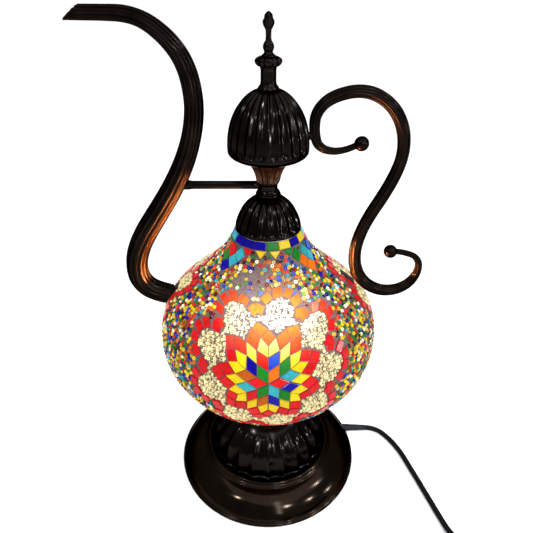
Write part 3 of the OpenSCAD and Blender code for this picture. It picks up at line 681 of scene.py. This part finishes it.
def cap_piece():
    """The fluted cap on the globe's neck."""
    z, height, widest, flutes = bottom("top_cap"), 32.5, 29.6, 20
    u = np.sin(np.radians(np.linspace(3.5, 72.8, 60)))
    dome = np.c_[dome_radius(widest, u, 1.75), z + height * u]
    rim = [(29.0, z), (29.5, z + 0.5), (widest, z + 1.2)]
    outer = np.vstack([rim, dome, [(8.6, z + 31.1), (5.4, z + 31.1)]])
    rings = rounded_flutes(outer, widest, flutes, 2.0, z + 2.6, 4.5)
    inside = [(5.4, z + 29.7), (14, z + 27), (24, z + 14), (27.4, z)]
    inner = turned_rings(inside, columns=flutes * STEPS_PER_FLUTE)
    add_rings("cap_fluted", np.vstack([rings, inner]), bronze, "bronze", closed=True, replaces=["top_cap"])


def collar_piece():
    """The turned neck over the cap, where the strut starts."""
    outer = spline([(9.8, 0), (10.8, 1), (10.8, 2), (9.8, 2.8), (10, 3.6), (9.2, 4.4), (8.3, 6), (8.1, 8.5),
                    (8.6, 10.6), (9.6, 11.9), (9.6, 12.6)], 5)
    profile = np.vstack([[(5.2, 0)], outer, [(5.2, 12.6)]]) + (0, bottom("neck_collar"))
    bronze_turned("collar_turned", "neck_collar", profile)


def strut_piece():
    """Straight bar from the collar's boss to the spout, with a small swelling at each end."""
    start, height = -7.5, 337.6
    along = np.array([0, 0.4, 2.5, 4.2, 6, 30, 56, 59, 61.5, 65.5])
    radius = np.array([3.0, 3.5, 3.5, 3.75, 3.6, 3.55, 3.6, 3.9, 4.1, 4.1])
    line = spline(np.c_[along, radius], 5)
    rings = turned_rings(np.c_[line[:, 1], line[:, 0]], columns=48)
    placed = np.stack([start - rings[..., 2], rings[..., 0], height + rings[..., 1]], -1)
    add_rings("strut_turned", placed, bronze, "bronze", caps=True, replaces=["strut_bar"])


def funnel_piece():
    """The fluted copper funnel below the bowl."""
    height, flutes = 19.0, 16
    line = bezier([(10.2, 0), (11, 7), (13.8, 12.5), (18.5, height)], 28)
    inner = np.array([(15.6, height), (11, 12), (8, 0)])
    depth = np.r_[np.full(len(line), 1.7), np.zeros(len(inner))]
    profile = np.vstack([line, inner]) + (0, bottom("funnel"))
    turned("funnel_fluted", profile, copper, "copper_bronze", flutes, depth, flutes * STEPS_PER_FLUTE,
           closed=True, replaces=["funnel"])


DOME_WIDEST = 34.0


def bowl_piece():
    """The smooth round bowl that closes the dome below."""
    z, seam = bottom("dome_bowl"), 369.0
    u = np.cos(np.radians(np.linspace(0, 90, 30)))
    bowl = np.c_[dome_radius(DOME_WIDEST, u * 0.86, 2.4), seam - (seam - z) * u]
    inner = shifted(bowl, -1.4)[::-1]
    profile = np.vstack([[(5.4, z)], bowl, inner[:-1], [(5.4, z + 1.4)]])
    bronze_turned("dome_bowl_spun", "dome_bowl", profile, columns=240)


def dome_piece():
    """The fluted dome under the finial."""
    low, widest_z, top, height, flutes = bottom("dome"), 372.1, 416.7, 46.5, 24
    u = np.sin(np.radians(np.linspace(0, 70, 60)))
    upper = np.c_[dome_radius(DOME_WIDEST, u, 2), widest_z + height * u]
    rim = [(33.7, low), (DOME_WIDEST, 369.6), (DOME_WIDEST, 371)]
    outer = np.vstack([rim, upper, [(9, top), (5.4, top)]])
    rings = rounded_flutes(outer, DOME_WIDEST, flutes, 2.3, 370.0, 6.0)
    inside = turned_rings([(5.4, 414.7), (18, 408), (30, 380), (31, low)], columns=flutes * STEPS_PER_FLUTE)
    add_rings("dome_fluted", np.vstack([rings, inside]), bronze, "bronze", closed=True, replaces=["dome"])


def finial_foot():
    line = spline([(8.3, 0), (8.5, 0.8), (7.9, 2), (6.8, 3.3), (6.3, 5), (6.15, 7), (6.15, 10), (6.15, 14.6),
                   (6.9, 16.4), (6.9, 16.8)], 5)
    profile = np.vstack([[(2, 0)], line, [(2, 16.8)]]) + (0, bottom("finial_base"))
    bronze_turned("finial_foot", "finial_base", profile, columns=96)


def finial_ring():
    """A gadrooned ring."""
    line = spline([(6.9, 0), (9, 0.6), (10.2, 2.2), (10.6, 3.9), (9.8, 5.6), (7.4, 7)], 6)
    depth = np.interp(line[:, 1], [0, 0.6, 2.2, 3.9, 5.6, 7], [0, 0.6, 1, 1.1, 0.9, 0.3])
    profile = np.vstack([line, [(2.3, 7), (2.3, 0)]]) + (0, bottom("finial_ring"))
    bronze_turned("finial_gadroon", "finial_ring", profile, flutes=14, depth=np.r_[depth, 0, 0],
                  columns=14 * 14)


def finial_spire():
    line = spline([(5.4, 0), (5.2, 0.7), (3.9, 1.6), (3.35, 3), (3.9, 4.4), (4.3, 6), (4.1, 7.6), (3.3, 9.4),
                   (2.4, 10.8), (2.15, 13), (2.15, 16), (2.4, 18), (3.3, 19.6), (4.1, 21.2), (4.45, 23),
                   (4.1, 24.4), (3.4, 25.4), (3.25, 26.4), (2.9, 27.8), (1.8, 29.2), (0.8, 30)], 5)
    profile = np.vstack([[(0.1, 0)], line, [(0.1, 30.2)]]) + (0, bottom("finial_spire"))
    turned("spire_turned", profile, bronze, "bronze", columns=96, body="spire", replaces=["finial_spire"])


cap_piece()
collar_piece()
strut_piece()
funnel_piece()
bowl_piece()
dome_piece()
finial_foot()
finial_ring()
finial_spire()


# ---- Spout and handle ----

# Middle lines as x, z and radius; y is 0
SPOUT_LINE = [
    (-143.8, 470.3, 5.45), (-136, 470.2, 5.5), (-121, 470, 5.6), (-107, 469.4, 5.9), (-96.5, 467, 6.1),
    (-87.5, 462.6, 6.5), (-79, 456, 6.9), (-72, 448.6, 7.2), (-66.5, 440.3, 7.4),
    (-62.3, 430, 7.6), (-59.8, 418, 7.8), (-59, 404, 7.9), (-60.6, 389.5, 8.1),
    (-64, 375.5, 8.3), (-69, 361.5, 8.7), (-75.5, 347.5, 9.1), (-83, 334, 9.4), (-91.5, 320.5, 9.7),
    (-100.5, 307, 10), (-109, 294, 10.2), (-116.5, 280.5, 10.2), (-121.6, 267, 10.2),
    (-123.3, 254, 10.2), (-121.5, 243, 10.2), (-116, 234.5, 10.2), (-107.5, 229, 10.1), (-96, 225, 10),
]
HANDLE_LINE = [
    (71.6, 371.6, 2.8), (64, 368.6, 2.9), (55, 367.2, 3.2), (46.5, 368.8, 3.6), (41, 373, 4),
    (38.4, 379.5, 4.3), (37.4, 387.5, 4.5), (38, 395.5, 4.7), (41.5, 402.6, 4.9), (48, 408.6, 5.1),
    (57.5, 412.8, 5.2), (69, 415, 5.2), (80.5, 413.8, 5.2), (91, 409, 5.2), (99.5, 401.8, 5.3),
    (105.6, 393.2, 5.4), (109.8, 383, 5.5), (111.6, 372.5, 5.5), (111.4, 362, 5.5),
    (109, 351, 5.6), (104.6, 338.6, 5.7), (98.4, 325, 5.8), (91.5, 311.2, 5.8), (85.6, 297, 5.8),
    (81.8, 283, 5.9), (80.5, 269.5, 5.9), (82.3, 256, 6), (88, 244, 6), (97.8, 234.6, 5.9),
    (110.6, 229.6, 5.6), (123.8, 230.8, 5.2), (134.4, 237.4, 4.7), (140.4, 247.4, 4.1),
    (141.4, 258.4, 3.5), (136.8, 266.4, 3), (128, 270.4, 2.9), (118.6, 272.2, 2.8),
]


def spout_piece():
    rings = reeded_tube(spline(SPOUT_LINE, STEPS_PER_POINT), 12, 0.8, 120, first_lean=6.2, last_lean=2.5)
    add_rings("spout_reeded", rings, cast, "cast_bronze", caps=True, replaces=["spout"])


def handle_piece():
    rings = reeded_tube(spline(HANDLE_LINE, STEPS_PER_POINT), 10, 0.6, 100)
    add_rings("handle_reeded", rings, cast, "cast_bronze", caps=True, replaces=["handle"])


def ball_piece(name, node):
    """A cast ball on a scroll's end, where the CAD has it."""
    low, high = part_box(node)
    centre = (low + high) / 2 / MM
    radius = (high.x - low.x) / 2 / MM
    latitudes = np.radians(np.linspace(-89, 89, 36))
    profile = np.c_[radius * np.cos(latitudes), radius * np.sin(latitudes)]
    rings = turned_rings(profile, columns=64) + np.array(centre)
    add_rings(name, rings, cast, "cast_bronze", caps=True, replaces=[node])


spout_piece()
handle_piece()
ball_piece("ball_upper", "handle_ball_upper")
ball_piece("ball_lower", "handle_ball_lower")


# ---- Mosaic globe ----

GLOBE_R, GLOBE_MID_Z, LOWER_HEIGHT = 105.8, 185, 82.3
NECK_START = (44.3, 272.8)


def globe_curve():
    """The mosaic's outer surface, from its lower mouth to under the cap, as radius and height."""
    a = np.radians(np.linspace(68, 0, 60))
    lower = np.c_[GLOBE_R * np.cos(a), GLOBE_MID_Z - LOWER_HEIGHT * np.sin(a)]
    upper = bezier([(GLOBE_R, GLOBE_MID_Z), (GLOBE_R, 235), (73, 240), NECK_START], 90)[1:]
    neck = bezier([NECK_START, (39.5, 278.5), (34, 290.5), (26.6, 303)], 40)[1:]
    return np.vstack([lower, upper, neck])


CURVE = globe_curve()
ALONG = np.r_[0, np.cumsum(np.linalg.norm(np.diff(CURVE, axis=0), axis=1))]
OUTWARD = shifted(CURVE, 1) - CURVE


def at_height(z):
    """Distance along the globe's curve at a height."""
    return float(np.interp(z, CURVE[:, 1], ALONG))


def curve_at(along, lift=0.0):
    """Radius and height at a distance along the globe's curve, lifted outwards from it."""
    return [np.interp(along, ALONG, CURVE[:, k]) + lift * np.interp(along, ALONG, OUTWARD[:, k])
            for k in (0, 1)]


def radius_at(along):
    return np.interp(along, ALONG, CURVE[:, 0])


def globe_points(longitude, along, lift):
    """Points on the globe: longitude in radians to the right of the front, lift outwards."""
    r, z = curve_at(along, lift)
    return np.stack([r * np.sin(longitude), -r * np.cos(longitude), z], -1)


def globe_axes(longitude, along):
    """The directions to the right, up along the surface and outwards."""
    n_r, n_z = (np.interp(along, ALONG, OUTWARD[:, k]) for k in (0, 1))
    sin, cos, zero = np.sin(longitude), np.cos(longitude), np.zeros_like(along)
    right = np.stack([cos, sin, zero], -1)
    outwards = unit(np.stack([n_r * sin, -n_r * cos, n_z], -1))
    return right, np.cross(outwards, right), outwards


MEDALLIONS = [0.0, math.radians(120), math.radians(240)]
CENTRE_ALONG = at_height(205.5)
TOP_ALONG = at_height(297.6)
SQUARE_BAND, TRIANGLE_BAND = 7.8, 7.4


def polar(radius, degrees):
    """A point in a medallion: degrees run clockwise from its top."""
    a = math.radians(degrees)
    return np.array([radius * math.sin(a), radius * math.cos(a)])


def star_tiles():
    """(corners, colour) of the star's tiles: two rings of rhombi, yellow tips and groups of red ones."""
    side = 10.6
    inner = [polar(side, 60 * k) for k in range(7)]
    crotch = [polar(1.735 * side, 60 * k + 30) for k in range(7)]
    spine = [polar(2 * side, 60 * k) for k in range(7)]
    valley = [polar(30 if m % 3 == 0 else 28, 20 * m) for m in range(20)]
    tip = [polar(36.6, 10 + 20 * m) for m in range(19)]
    tip.append(tip[-1])
    first = "orange red turquoise green red green".split()
    second = "blue green turquoise navy green navy amber red turquoise amber navy red".split()
    tiles = []
    for k in range(6):
        tiles.append(([(0, 0), inner[k], crotch[k], inner[k + 1]], first[k]))
        tiles.append(([inner[k], spine[k], valley[3 * k + 1], crotch[k]], second[2 * k]))
        tiles.append(([inner[k + 1], crotch[k], valley[3 * k + 2], spine[k + 1]], second[2 * k + 1]))
        starts = [spine[k], crotch[k], spine[k + 1]]
        for n in range(3):
            m = 3 * k + n
            tiles.append(([starts[n], valley[m], tip[m], valley[m + 1]], "yellow"))
    for m in range(1, 18, 2):
        before, here, after = tip[m - 1], tip[m], tip[m + 1]
        left, right = before + here - valley[m], here + after - valley[m + 1]
        tiles.append(([valley[m], before, left, here], "red"))
        tiles.append(([valley[m + 1], here, right, after], "red"))
        tiles.append(([here, left, left + right - here, right], "red"))
    return tiles


PETAL_CENTRE, PETAL_REACH, PETAL_HALF = 50.0, 23.2, 18.6
PETALS = [10 + 40 * m for m in range(9)]


def border_tiles():
    """Square red tiles round the nine petals."""
    tiles = []
    for petal in PETALS:
        for a in (-75, -45, -15, 15, 45, 75):
            t = math.radians(a)
            centre = np.array([PETAL_HALF * math.sin(t), PETAL_CENTRE + PETAL_REACH * math.cos(t)])
            along = unit(np.array([PETAL_HALF * math.cos(t), -PETAL_REACH * math.sin(t)]))
            across = np.array([-along[1], along[0]])
            long, wide = 4.5 * rng.uniform(0.92, 1.06), 4.3 * rng.uniform(0.92, 1.08)
            corners = [centre + sx * long * along + sy * wide * across
                       for sx, sy in ((-1, -1), (1, -1), (1, 1), (-1, 1))]
            turn = math.radians(petal)
            spin = np.array([[math.cos(turn), -math.sin(turn)], [math.sin(turn), math.cos(turn)]])
            tiles.append(([c @ spin for c in corners], "red"))
    return tiles


class Tiles:
    """Flat glass tiles with chamfered edges, gathered by colour and joined into one mesh for each."""

    def __init__(self):
        self.points, self.faces, self.tones, self.count = {}, {}, {}, {}

    def add(self, corners, colour, gap=0.38, chamfer=0.5):
        """corners are longitude and distance along the curve."""
        corners = np.asarray(corners, float)
        middle = corners.mean(0)
        centre = globe_points(middle[0], middle[1], 0.0)
        right, up, outwards = globe_axes(middle[0], np.asarray(middle[1]))
        tilt = rng.normal(0, 0.012, 2)
        surface_points = globe_points(corners[:, 0], corners[:, 1], 0.0) - centre
        flat = np.c_[surface_points @ right, surface_points @ up]
        if np.cross(flat[1] - flat[0], flat[2] - flat[1]) < 0:
            flat = flat[::-1]
        flat = flat + rng.normal(0, 0.1, flat.shape)
        rings = [(inset(flat, gap), -2.4), (inset(flat, gap), -0.75), (inset(flat, gap + chamfer), -0.2)]
        points = []
        for outline_points, depth in rings:
            height = depth + outline_points @ tilt
            points.append(centre + outline_points[:, :1] * right + outline_points[:, 1:] * up
                          + height[:, None] * outwards)
        n = len(flat)
        start = self.count.setdefault(colour, 0)
        quads = [[start + k * n + j, start + k * n + (j + 1) % n, start + (k + 1) * n + (j + 1) % n,
                  start + (k + 1) * n + j] for k in (0, 1) for j in range(n)]
        quads.append([start + 2 * n + j for j in range(n)])
        shine = rng.uniform(0.82, 1.08)
        self.points.setdefault(colour, []).append(np.vstack(points))
        self.faces.setdefault(colour, []).extend(quads)
        # Painted shade: the tile's side walls glow at 0.55 of its top face; shine is a random brightness for
        # each tile.
        self.tones.setdefault(colour, []).append(np.r_[np.full(2 * n, 0.55 * shine), np.full(n, shine)])
        self.count[colour] += 3 * n

    def build(self):
        for colour, points in self.points.items():
            add_mesh(f"tiles_{colour}", np.vstack(points), self.faces[colour], GLASS[colour], "mosaic",
                     sharp=15, tone=np.concatenate(self.tones[colour]))


def inset(polygon, by):
    """A convex polygon, counter-clockwise, with each side moved inwards."""
    n = len(polygon)
    sides = unit(np.roll(polygon, -1, 0) - polygon)
    normals = np.c_[-sides[:, 1], sides[:, 0]]
    corners = []
    for j in range(n):
        a, b = normals[j - 1], normals[j]
        corners.append(polygon[j] + by * (a + b) / max(0.35, 1 + a @ b))
    return np.array(corners)


def drift(radius):
    """How far the hand-laid pattern sits higher, at a distance from its middle."""
    return 4.5 * np.minimum(1, radius / 45) ** 2


def on_medallion(corners, longitude):
    """A medallion's own points as longitude and distance along the curve."""
    corners = np.asarray(corners, float)
    along = CENTRE_ALONG + corners[:, 1] + drift(np.hypot(corners[:, 0], corners[:, 1]))
    return np.c_[longitude + corners[:, 0] / radius_at(along), along]


def neck_tiles():
    """(corners, colour) of the square tiles under the cap, the triangles below them and three pendants."""
    tiles = []
    high = TOP_ALONG - SQUARE_BAND
    step = math.radians(20)
    first_middle = math.radians(7)
    squares = ("green yellow navy yellow turquoise navy green red blue "
               "turquoise navy yellow green navy turquoise navy navy navy").split()
    for k, colour in enumerate(squares):
        left = first_middle + (k - 0.5) * step
        right = first_middle + (k + 0.5) * step
        tiles.append(([(left, high), (right, high), (right, TOP_ALONG), (left, TOP_ALONG)], colour))
    for medallion in MEDALLIONS:
        for degrees, colour in ((-31.5, "red"), (-11, "yellow"), (10, "yellow"), (31.5, "green")):
            middle = medallion + math.radians(degrees)
            half = math.radians(9.6)
            triangle = [(middle, high - TRIANGLE_BAND), (middle + half, high), (middle - half, high)]
            tiles.append((triangle, colour))
    pendants = {
        -60: "amber red turquoise green turquoise navy",
        60: "green turquoise blue orange turquoise orange",
        180: "orange blue green red yellow turquoise",
    }
    half_wide, half_high = math.radians(8.6), 7.4
    for degrees, colours in pendants.items():
        places = [(-1, 0), (0, 0), (1, 0), (-0.5, 1), (0.5, 1), (0, 2)]
        for (across, down), colour in zip(places, colours.split()):
            x = math.radians(degrees) + 2 * across * half_wide
            y = high - half_high - down * half_high
            rhombus = [(x, y - half_high), (x + half_wide, y), (x, y + half_high), (x - half_wide, y)]
            tiles.append((rhombus, colour))
    return tiles


def inside_medallion(across, up):
    """True where a point is within a medallion's scalloped border line."""
    radius, angle = np.hypot(across, up), np.degrees(np.arctan2(across, up))
    from_petal = np.radians((angle - 10 + 20) % 40 - 20)
    x, y = radius * np.cos(from_petal), radius * np.sin(from_petal)
    return (x < PETAL_CENTRE) & (radius < 60) | (
        ((x - PETAL_CENTRE) / PETAL_REACH) ** 2 + (y / PETAL_HALF) ** 2 < 1)


def on_tile(points, polygons, margin):
    """Which of the points lie within margin of any polygon."""
    hit = np.zeros(len(points), bool)
    for polygon in polygons:
        p = np.asarray(polygon, float)
        if np.cross(p[1] - p[0], p[2] - p[1]) < 0:
            p = p[::-1]
        near = np.flatnonzero((np.abs(points - p.mean(0)) < 12).all(1))
        if len(near):
            sides = unit(np.roll(p, -1, 0) - p)
            normals = np.c_[-sides[:, 1], sides[:, 0]]
            depth = ((points[near, None] - p) * normals).sum(-1).min(1)
            hit[near[depth > -margin]] = True
    return hit


def scattered(low, high, row, pitch):
    """Uneven rows of bead places: longitude and distance along the curve."""
    places = []
    for along in np.arange(low, high, row):
        count = int(2 * math.pi * radius_at(along) / pitch)
        angle = (np.arange(count) + rng.random() + rng.normal(0, 0.13, count)) * 2 * math.pi / count
        places.append(np.c_[angle, along + rng.normal(0, 0.3, count)])
    return np.vstack(places)


def local_places(places, longitude):
    """Bead places as points of one medallion."""
    turn = (places[:, 0] - longitude + math.pi) % (2 * math.pi) - math.pi
    across = turn * radius_at(places[:, 1])
    up = places[:, 1] - CENTRE_ALONG
    return np.c_[across, up - drift(np.hypot(across, up))]


def bead_mesh(segments=8):
    """A short glass tube with a round wall, and a painted shade for each of its points."""
    turn = around(segments)
    wall = np.radians([40, 140, 220, 320])
    r = 0.66 + 0.34 * np.cos(wall)
    z = 0.62 * np.sin(wall)
    points = np.stack([np.outer(np.cos(turn), r), np.outer(np.sin(turn), r),
                       np.repeat(z[None], segments, 0)], -1).reshape(-1, 3)
    # Painted shade: the end face that looks out along the axis glows, brightest at the hole's edge, and the
    # other end face is painted dark.
    tone = np.tile([0.74, 1.16, 0.24, 0.16], segments)
    return points, tone, np.array(grid_faces(segments, 4, True))[:, ::-1]


def add_beads(name, places, material, radius, upright):
    """Beads at the places: a share is upright, with its holes outwards, and the rest lies on its side."""
    count = len(places)
    shape, shade, quads = bead_mesh()
    right, up, outwards = globe_axes(places[:, 0], places[:, 1])
    lying = rng.random(count) > upright
    tilt = np.where(lying, rng.uniform(1.1, 1.57, count), np.abs(rng.normal(0, 0.24, count)))
    spin = rng.uniform(0, 2 * math.pi, count)
    sideways = right * np.cos(spin)[:, None] + up * np.sin(spin)[:, None]
    axis = outwards * np.cos(tilt)[:, None] + sideways * np.sin(tilt)[:, None]
    first = unit(np.cross(axis, np.cross(outwards, sideways)))
    second = np.cross(axis, first)
    size = radius * rng.normal(1, 0.07, count).clip(0.82, 1.18)
    lift = np.where(lying, -size * 0.98, -size * 0.68)
    centre = globe_points(places[:, 0], places[:, 1], 0.0) + outwards * lift[:, None]
    basis = np.stack([first, second, axis], 1) * size[:, None, None]
    points = (np.einsum("pk,bkx->bpx", shape, basis) + centre[:, None]).reshape(-1, 3)
    faces = (quads[None] + (np.arange(count) * len(shape))[:, None, None]).reshape(-1, 4)
    # Each bead's random brightness times the painted shade of its wall points.
    shine = rng.normal(1, 0.2, count).clip(0.45, 1.45)
    add_mesh(name, points, faces, material, "mosaic", sharp=180, tone=(shine[:, None] * shade).ravel())


BEAD_SHARES = {
    "yellow": 0.26, "clear": 0.07, "cream": 0.08, "red": 0.11, "orange": 0.1, "navy": 0.1, "blue": 0.05,
    "green": 0.15, "turquoise": 0.07, "brown": 0.09, "amber": 0.08,
}
# Places where the grout shows between few beads: longitude in degrees, height and size
BARE_PATCHES = [(-23, 262, 13), (-7, 270, 9), (38, 150, 12), (100, 240, 10), (-150, 160, 14)]


def clear_of_neck(places, neck):
    """Which of the places are clear of the neck's tiles. Their angles may be a whole turn apart."""
    clear = np.ones(len(places), bool)
    for corners, _ in neck:
        corners = np.asarray(corners)
        radius = radius_at(corners[:, 1].mean())
        tile = np.c_[corners[:, 0] * radius, corners[:, 1]]
        for turn in (-1, 0, 1):
            flat = np.c_[(places[:, 0] + turn * 2 * math.pi) * radius, places[:, 1]]
            clear &= ~on_tile(flat, [tile], 1.2)
    return clear


def mixed_places(covered, neck):
    """Places of the mixed beads, which fill what the medallions, tiles and bare patches leave."""
    places = scattered(at_height(119.5), TOP_ALONG - SQUARE_BAND - 1.2, 3.2, 3.7)
    keep = clear_of_neck(places, neck)
    for longitude in MEDALLIONS:
        local = local_places(places, longitude)
        keep &= ~inside_medallion(local[:, 0], local[:, 1]) & ~on_tile(local, covered, 1.3)
    for degrees, height, size in BARE_PATCHES:
        local = local_places(places, math.radians(degrees))
        from_patch = np.hypot(local[:, 0], local[:, 1] + CENTRE_ALONG - at_height(height)) / size
        keep &= ~((from_patch < 1) & (rng.random(len(places)) < 0.75))
    keep &= rng.random(len(places)) > 0.03
    return places[keep]


def mosaic():
    """The tiles, then the mixed beads between them and the cream beads of the petals."""
    medallion_tiles = star_tiles() + border_tiles()
    neck = neck_tiles()
    tiles = Tiles()
    for longitude in MEDALLIONS:
        for corners, colour in medallion_tiles:
            tiles.add(on_medallion(corners, longitude), colour)
    for corners, colour in neck:
        tiles.add(corners, colour)
    tiles.build()

    covered = [corners for corners, _ in medallion_tiles]
    mixed = mixed_places(covered, neck)
    shares = np.array(list(BEAD_SHARES.values()))
    colours = rng.choice(list(BEAD_SHARES), len(mixed), p=shares / sum(shares))
    for colour in BEAD_SHARES:
        add_beads(f"beads_{colour}", mixed[colours == colour], GLASS[colour], 1.84, 0.72)

    pale = scattered(CENTRE_ALONG - 76, CENTRE_ALONG + 80, 2.45, 2.8)
    for number, longitude in enumerate(MEDALLIONS):
        local = local_places(pale, longitude)
        keep = inside_medallion(local[:, 0], local[:, 1]) & ~on_tile(local, covered, 0.95)
        add_beads(f"petals_{number}", pale[keep], GLASS["cream"], 1.46, 0.6)


def grout_piece():
    """The grout, a little lower than the faces of the tiles and beads."""
    along = np.linspace(at_height(118.2), at_height(297.46), 150)
    outer = np.transpose(curve_at(along, -1.45))
    inner = np.transpose(curve_at(along, -2.7))
    turned("grout_layer", np.vstack([outer, inner[::-1]]), grout, "mosaic", columns=240, closed=True,
           replaces=["mosaic_skin"])


grout_piece()
mosaic()


# ---- Finishes of the CAD parts that show as they are ----

FINISHES = {
    felt: ["felt_pad"],
    steel: ["base_cover", "base_washer", "holder_bracket", "finial_stud", "bulb_cap", "switch_screws"],
    iron: ["base_weight"],
    brass: ["base_nut", "centre_rod", "bracket_nuts", "holder_sleeve"],
    rubber: ["globe_gasket", "spout_pad", "handle_pad"],
    porcelain: ["lampholder"],
    lead_sheath: ["inner_lead"],
    frosted: ["globe_glass"],
    opal: ["bulb_glass"],
    rocker: ["switch_rocker"],
    cast: ["handle_peg"],
}
for material, names in FINISHES.items():
    for name in names:
        mesh_materials = frame["nodes"][name].data.materials
        mesh_materials.clear()
        mesh_materials.append(material)


# ---- Floor, light and background ----

def add_floor():
    """A wide pale table top that runs to the horizon."""
    mesh = bpy.data.meshes.new("floor")
    far = 60.0
    mesh.from_pydata([(-far, -far, 0), (far, -far, 0), (far, far, 0), (-far, far, 0)], [], [[0, 1, 2, 3]])
    s = Shader("pale_table")
    s.put(Base_Color=s.ramp(s.noise(9, 6), (0.3, (0.9, 0.9, 0.895)), (0.7, (0.93, 0.93, 0.93))),
          Roughness=s.span(s.noise(30), 0.75, 0.9), Specular_IOR_Level=0.1)
    s.bump(s.noise(400, 3), 0.02)
    mesh.materials.append(s.material)
    floor = bpy.data.objects.new("floor", mesh)
    floor.location.z = -0.0002
    scene.collection.objects.link(floor)


def add_light(name, kind, place, target, power, colour, size):
    """A light aimed at target. size is a lamp's width, a globe's radius or the sun's angle."""
    data = bpy.data.lights.new(name, kind)
    data.energy = power
    data.color = colour
    if kind == "AREA":
        data.shape = "DISK"
        data.size = size
    elif kind == "POINT":
        data.shadow_soft_size = size
    elif kind == "SUN":
        data.angle = size
    light = bpy.data.objects.new(name, data)
    light.location = place
    light.rotation_euler = (Vector(place) - Vector(target)).to_track_quat("Z", "Y").to_euler()
    scene.collection.objects.link(light)
    return light


def add_world():
    world = bpy.data.worlds.new("studio")
    world.use_nodes = True
    back = world.node_tree.nodes["Background"]
    back.inputs["Color"].default_value = (1, 1, 1, 1)
    back.inputs["Strength"].default_value = 0.55
    scene.world = world


SPOTS = [(0.62, -1.4, 1.13), (1.3, -1.03, 0.9), (1.75, -0.52, 0.42), (1.2, -0.2, 1.4), (-0.9, -0.9, 1.5)]


def add_lights():
    """A wide soft sky, with small bright lamps and a tall window for the metal to reflect."""
    add_light("sky", "SUN", (0.2, -0.3, 2.0), (0, 0, 0), 2.0, (1, 0.99, 0.97), math.radians(70))
    for number, place in enumerate(SPOTS):
        add_light(f"lamp_{number}", "AREA", place, (0, 0, 0.2), 11.0, (0.86, 0.93, 1.0), 0.13)
    window = add_light("window", "AREA", (0.45, -1.9, 1.5), (0, 0, 0.3), 13.0, (0.84, 0.94, 1.0), 0.16)
    window.data.shape = "RECTANGLE"
    window.data.size_y = 1.7


INSIDE_THE_GLOBE = {"globe_glass", "lampholder", "bulb_glass", "bulb_cap", "holder_bracket", "centre_rod",
                    "holder_sleeve", "bracket_nuts", "inner_lead"}


def add_globe_glow():
    """The lit globe's warm shine on the castings round it. It stands for the bulb seen through the glass."""
    glow_light = add_light("globe_glow", "POINT", (0, 0, 0.19), (0, 0, 0), 75.0, (1.0, 0.42, 0.13), 0.085)
    glow_light.data.cycles.use_multiple_importance_sampling = False
    castings = bpy.data.collections.new("castings_round_the_globe")
    for name in ("spout_reeded", "handle_reeded", "ball_upper", "ball_lower", "strut_turned"):
        castings.objects.link(bpy.data.objects[name])
    glow_light.light_linking.receiver_collection = castings
    mosaic_names = ("tiles_", "beads_", "petals_", "grout_")
    for piece in bpy.data.objects:
        if piece.name.startswith(mosaic_names) or piece.name in INSIDE_THE_GLOBE:
            piece.visible_shadow = False


add_floor()
add_world()
add_lights()
add_globe_glow()
scene.view_settings.view_transform = "Standard"
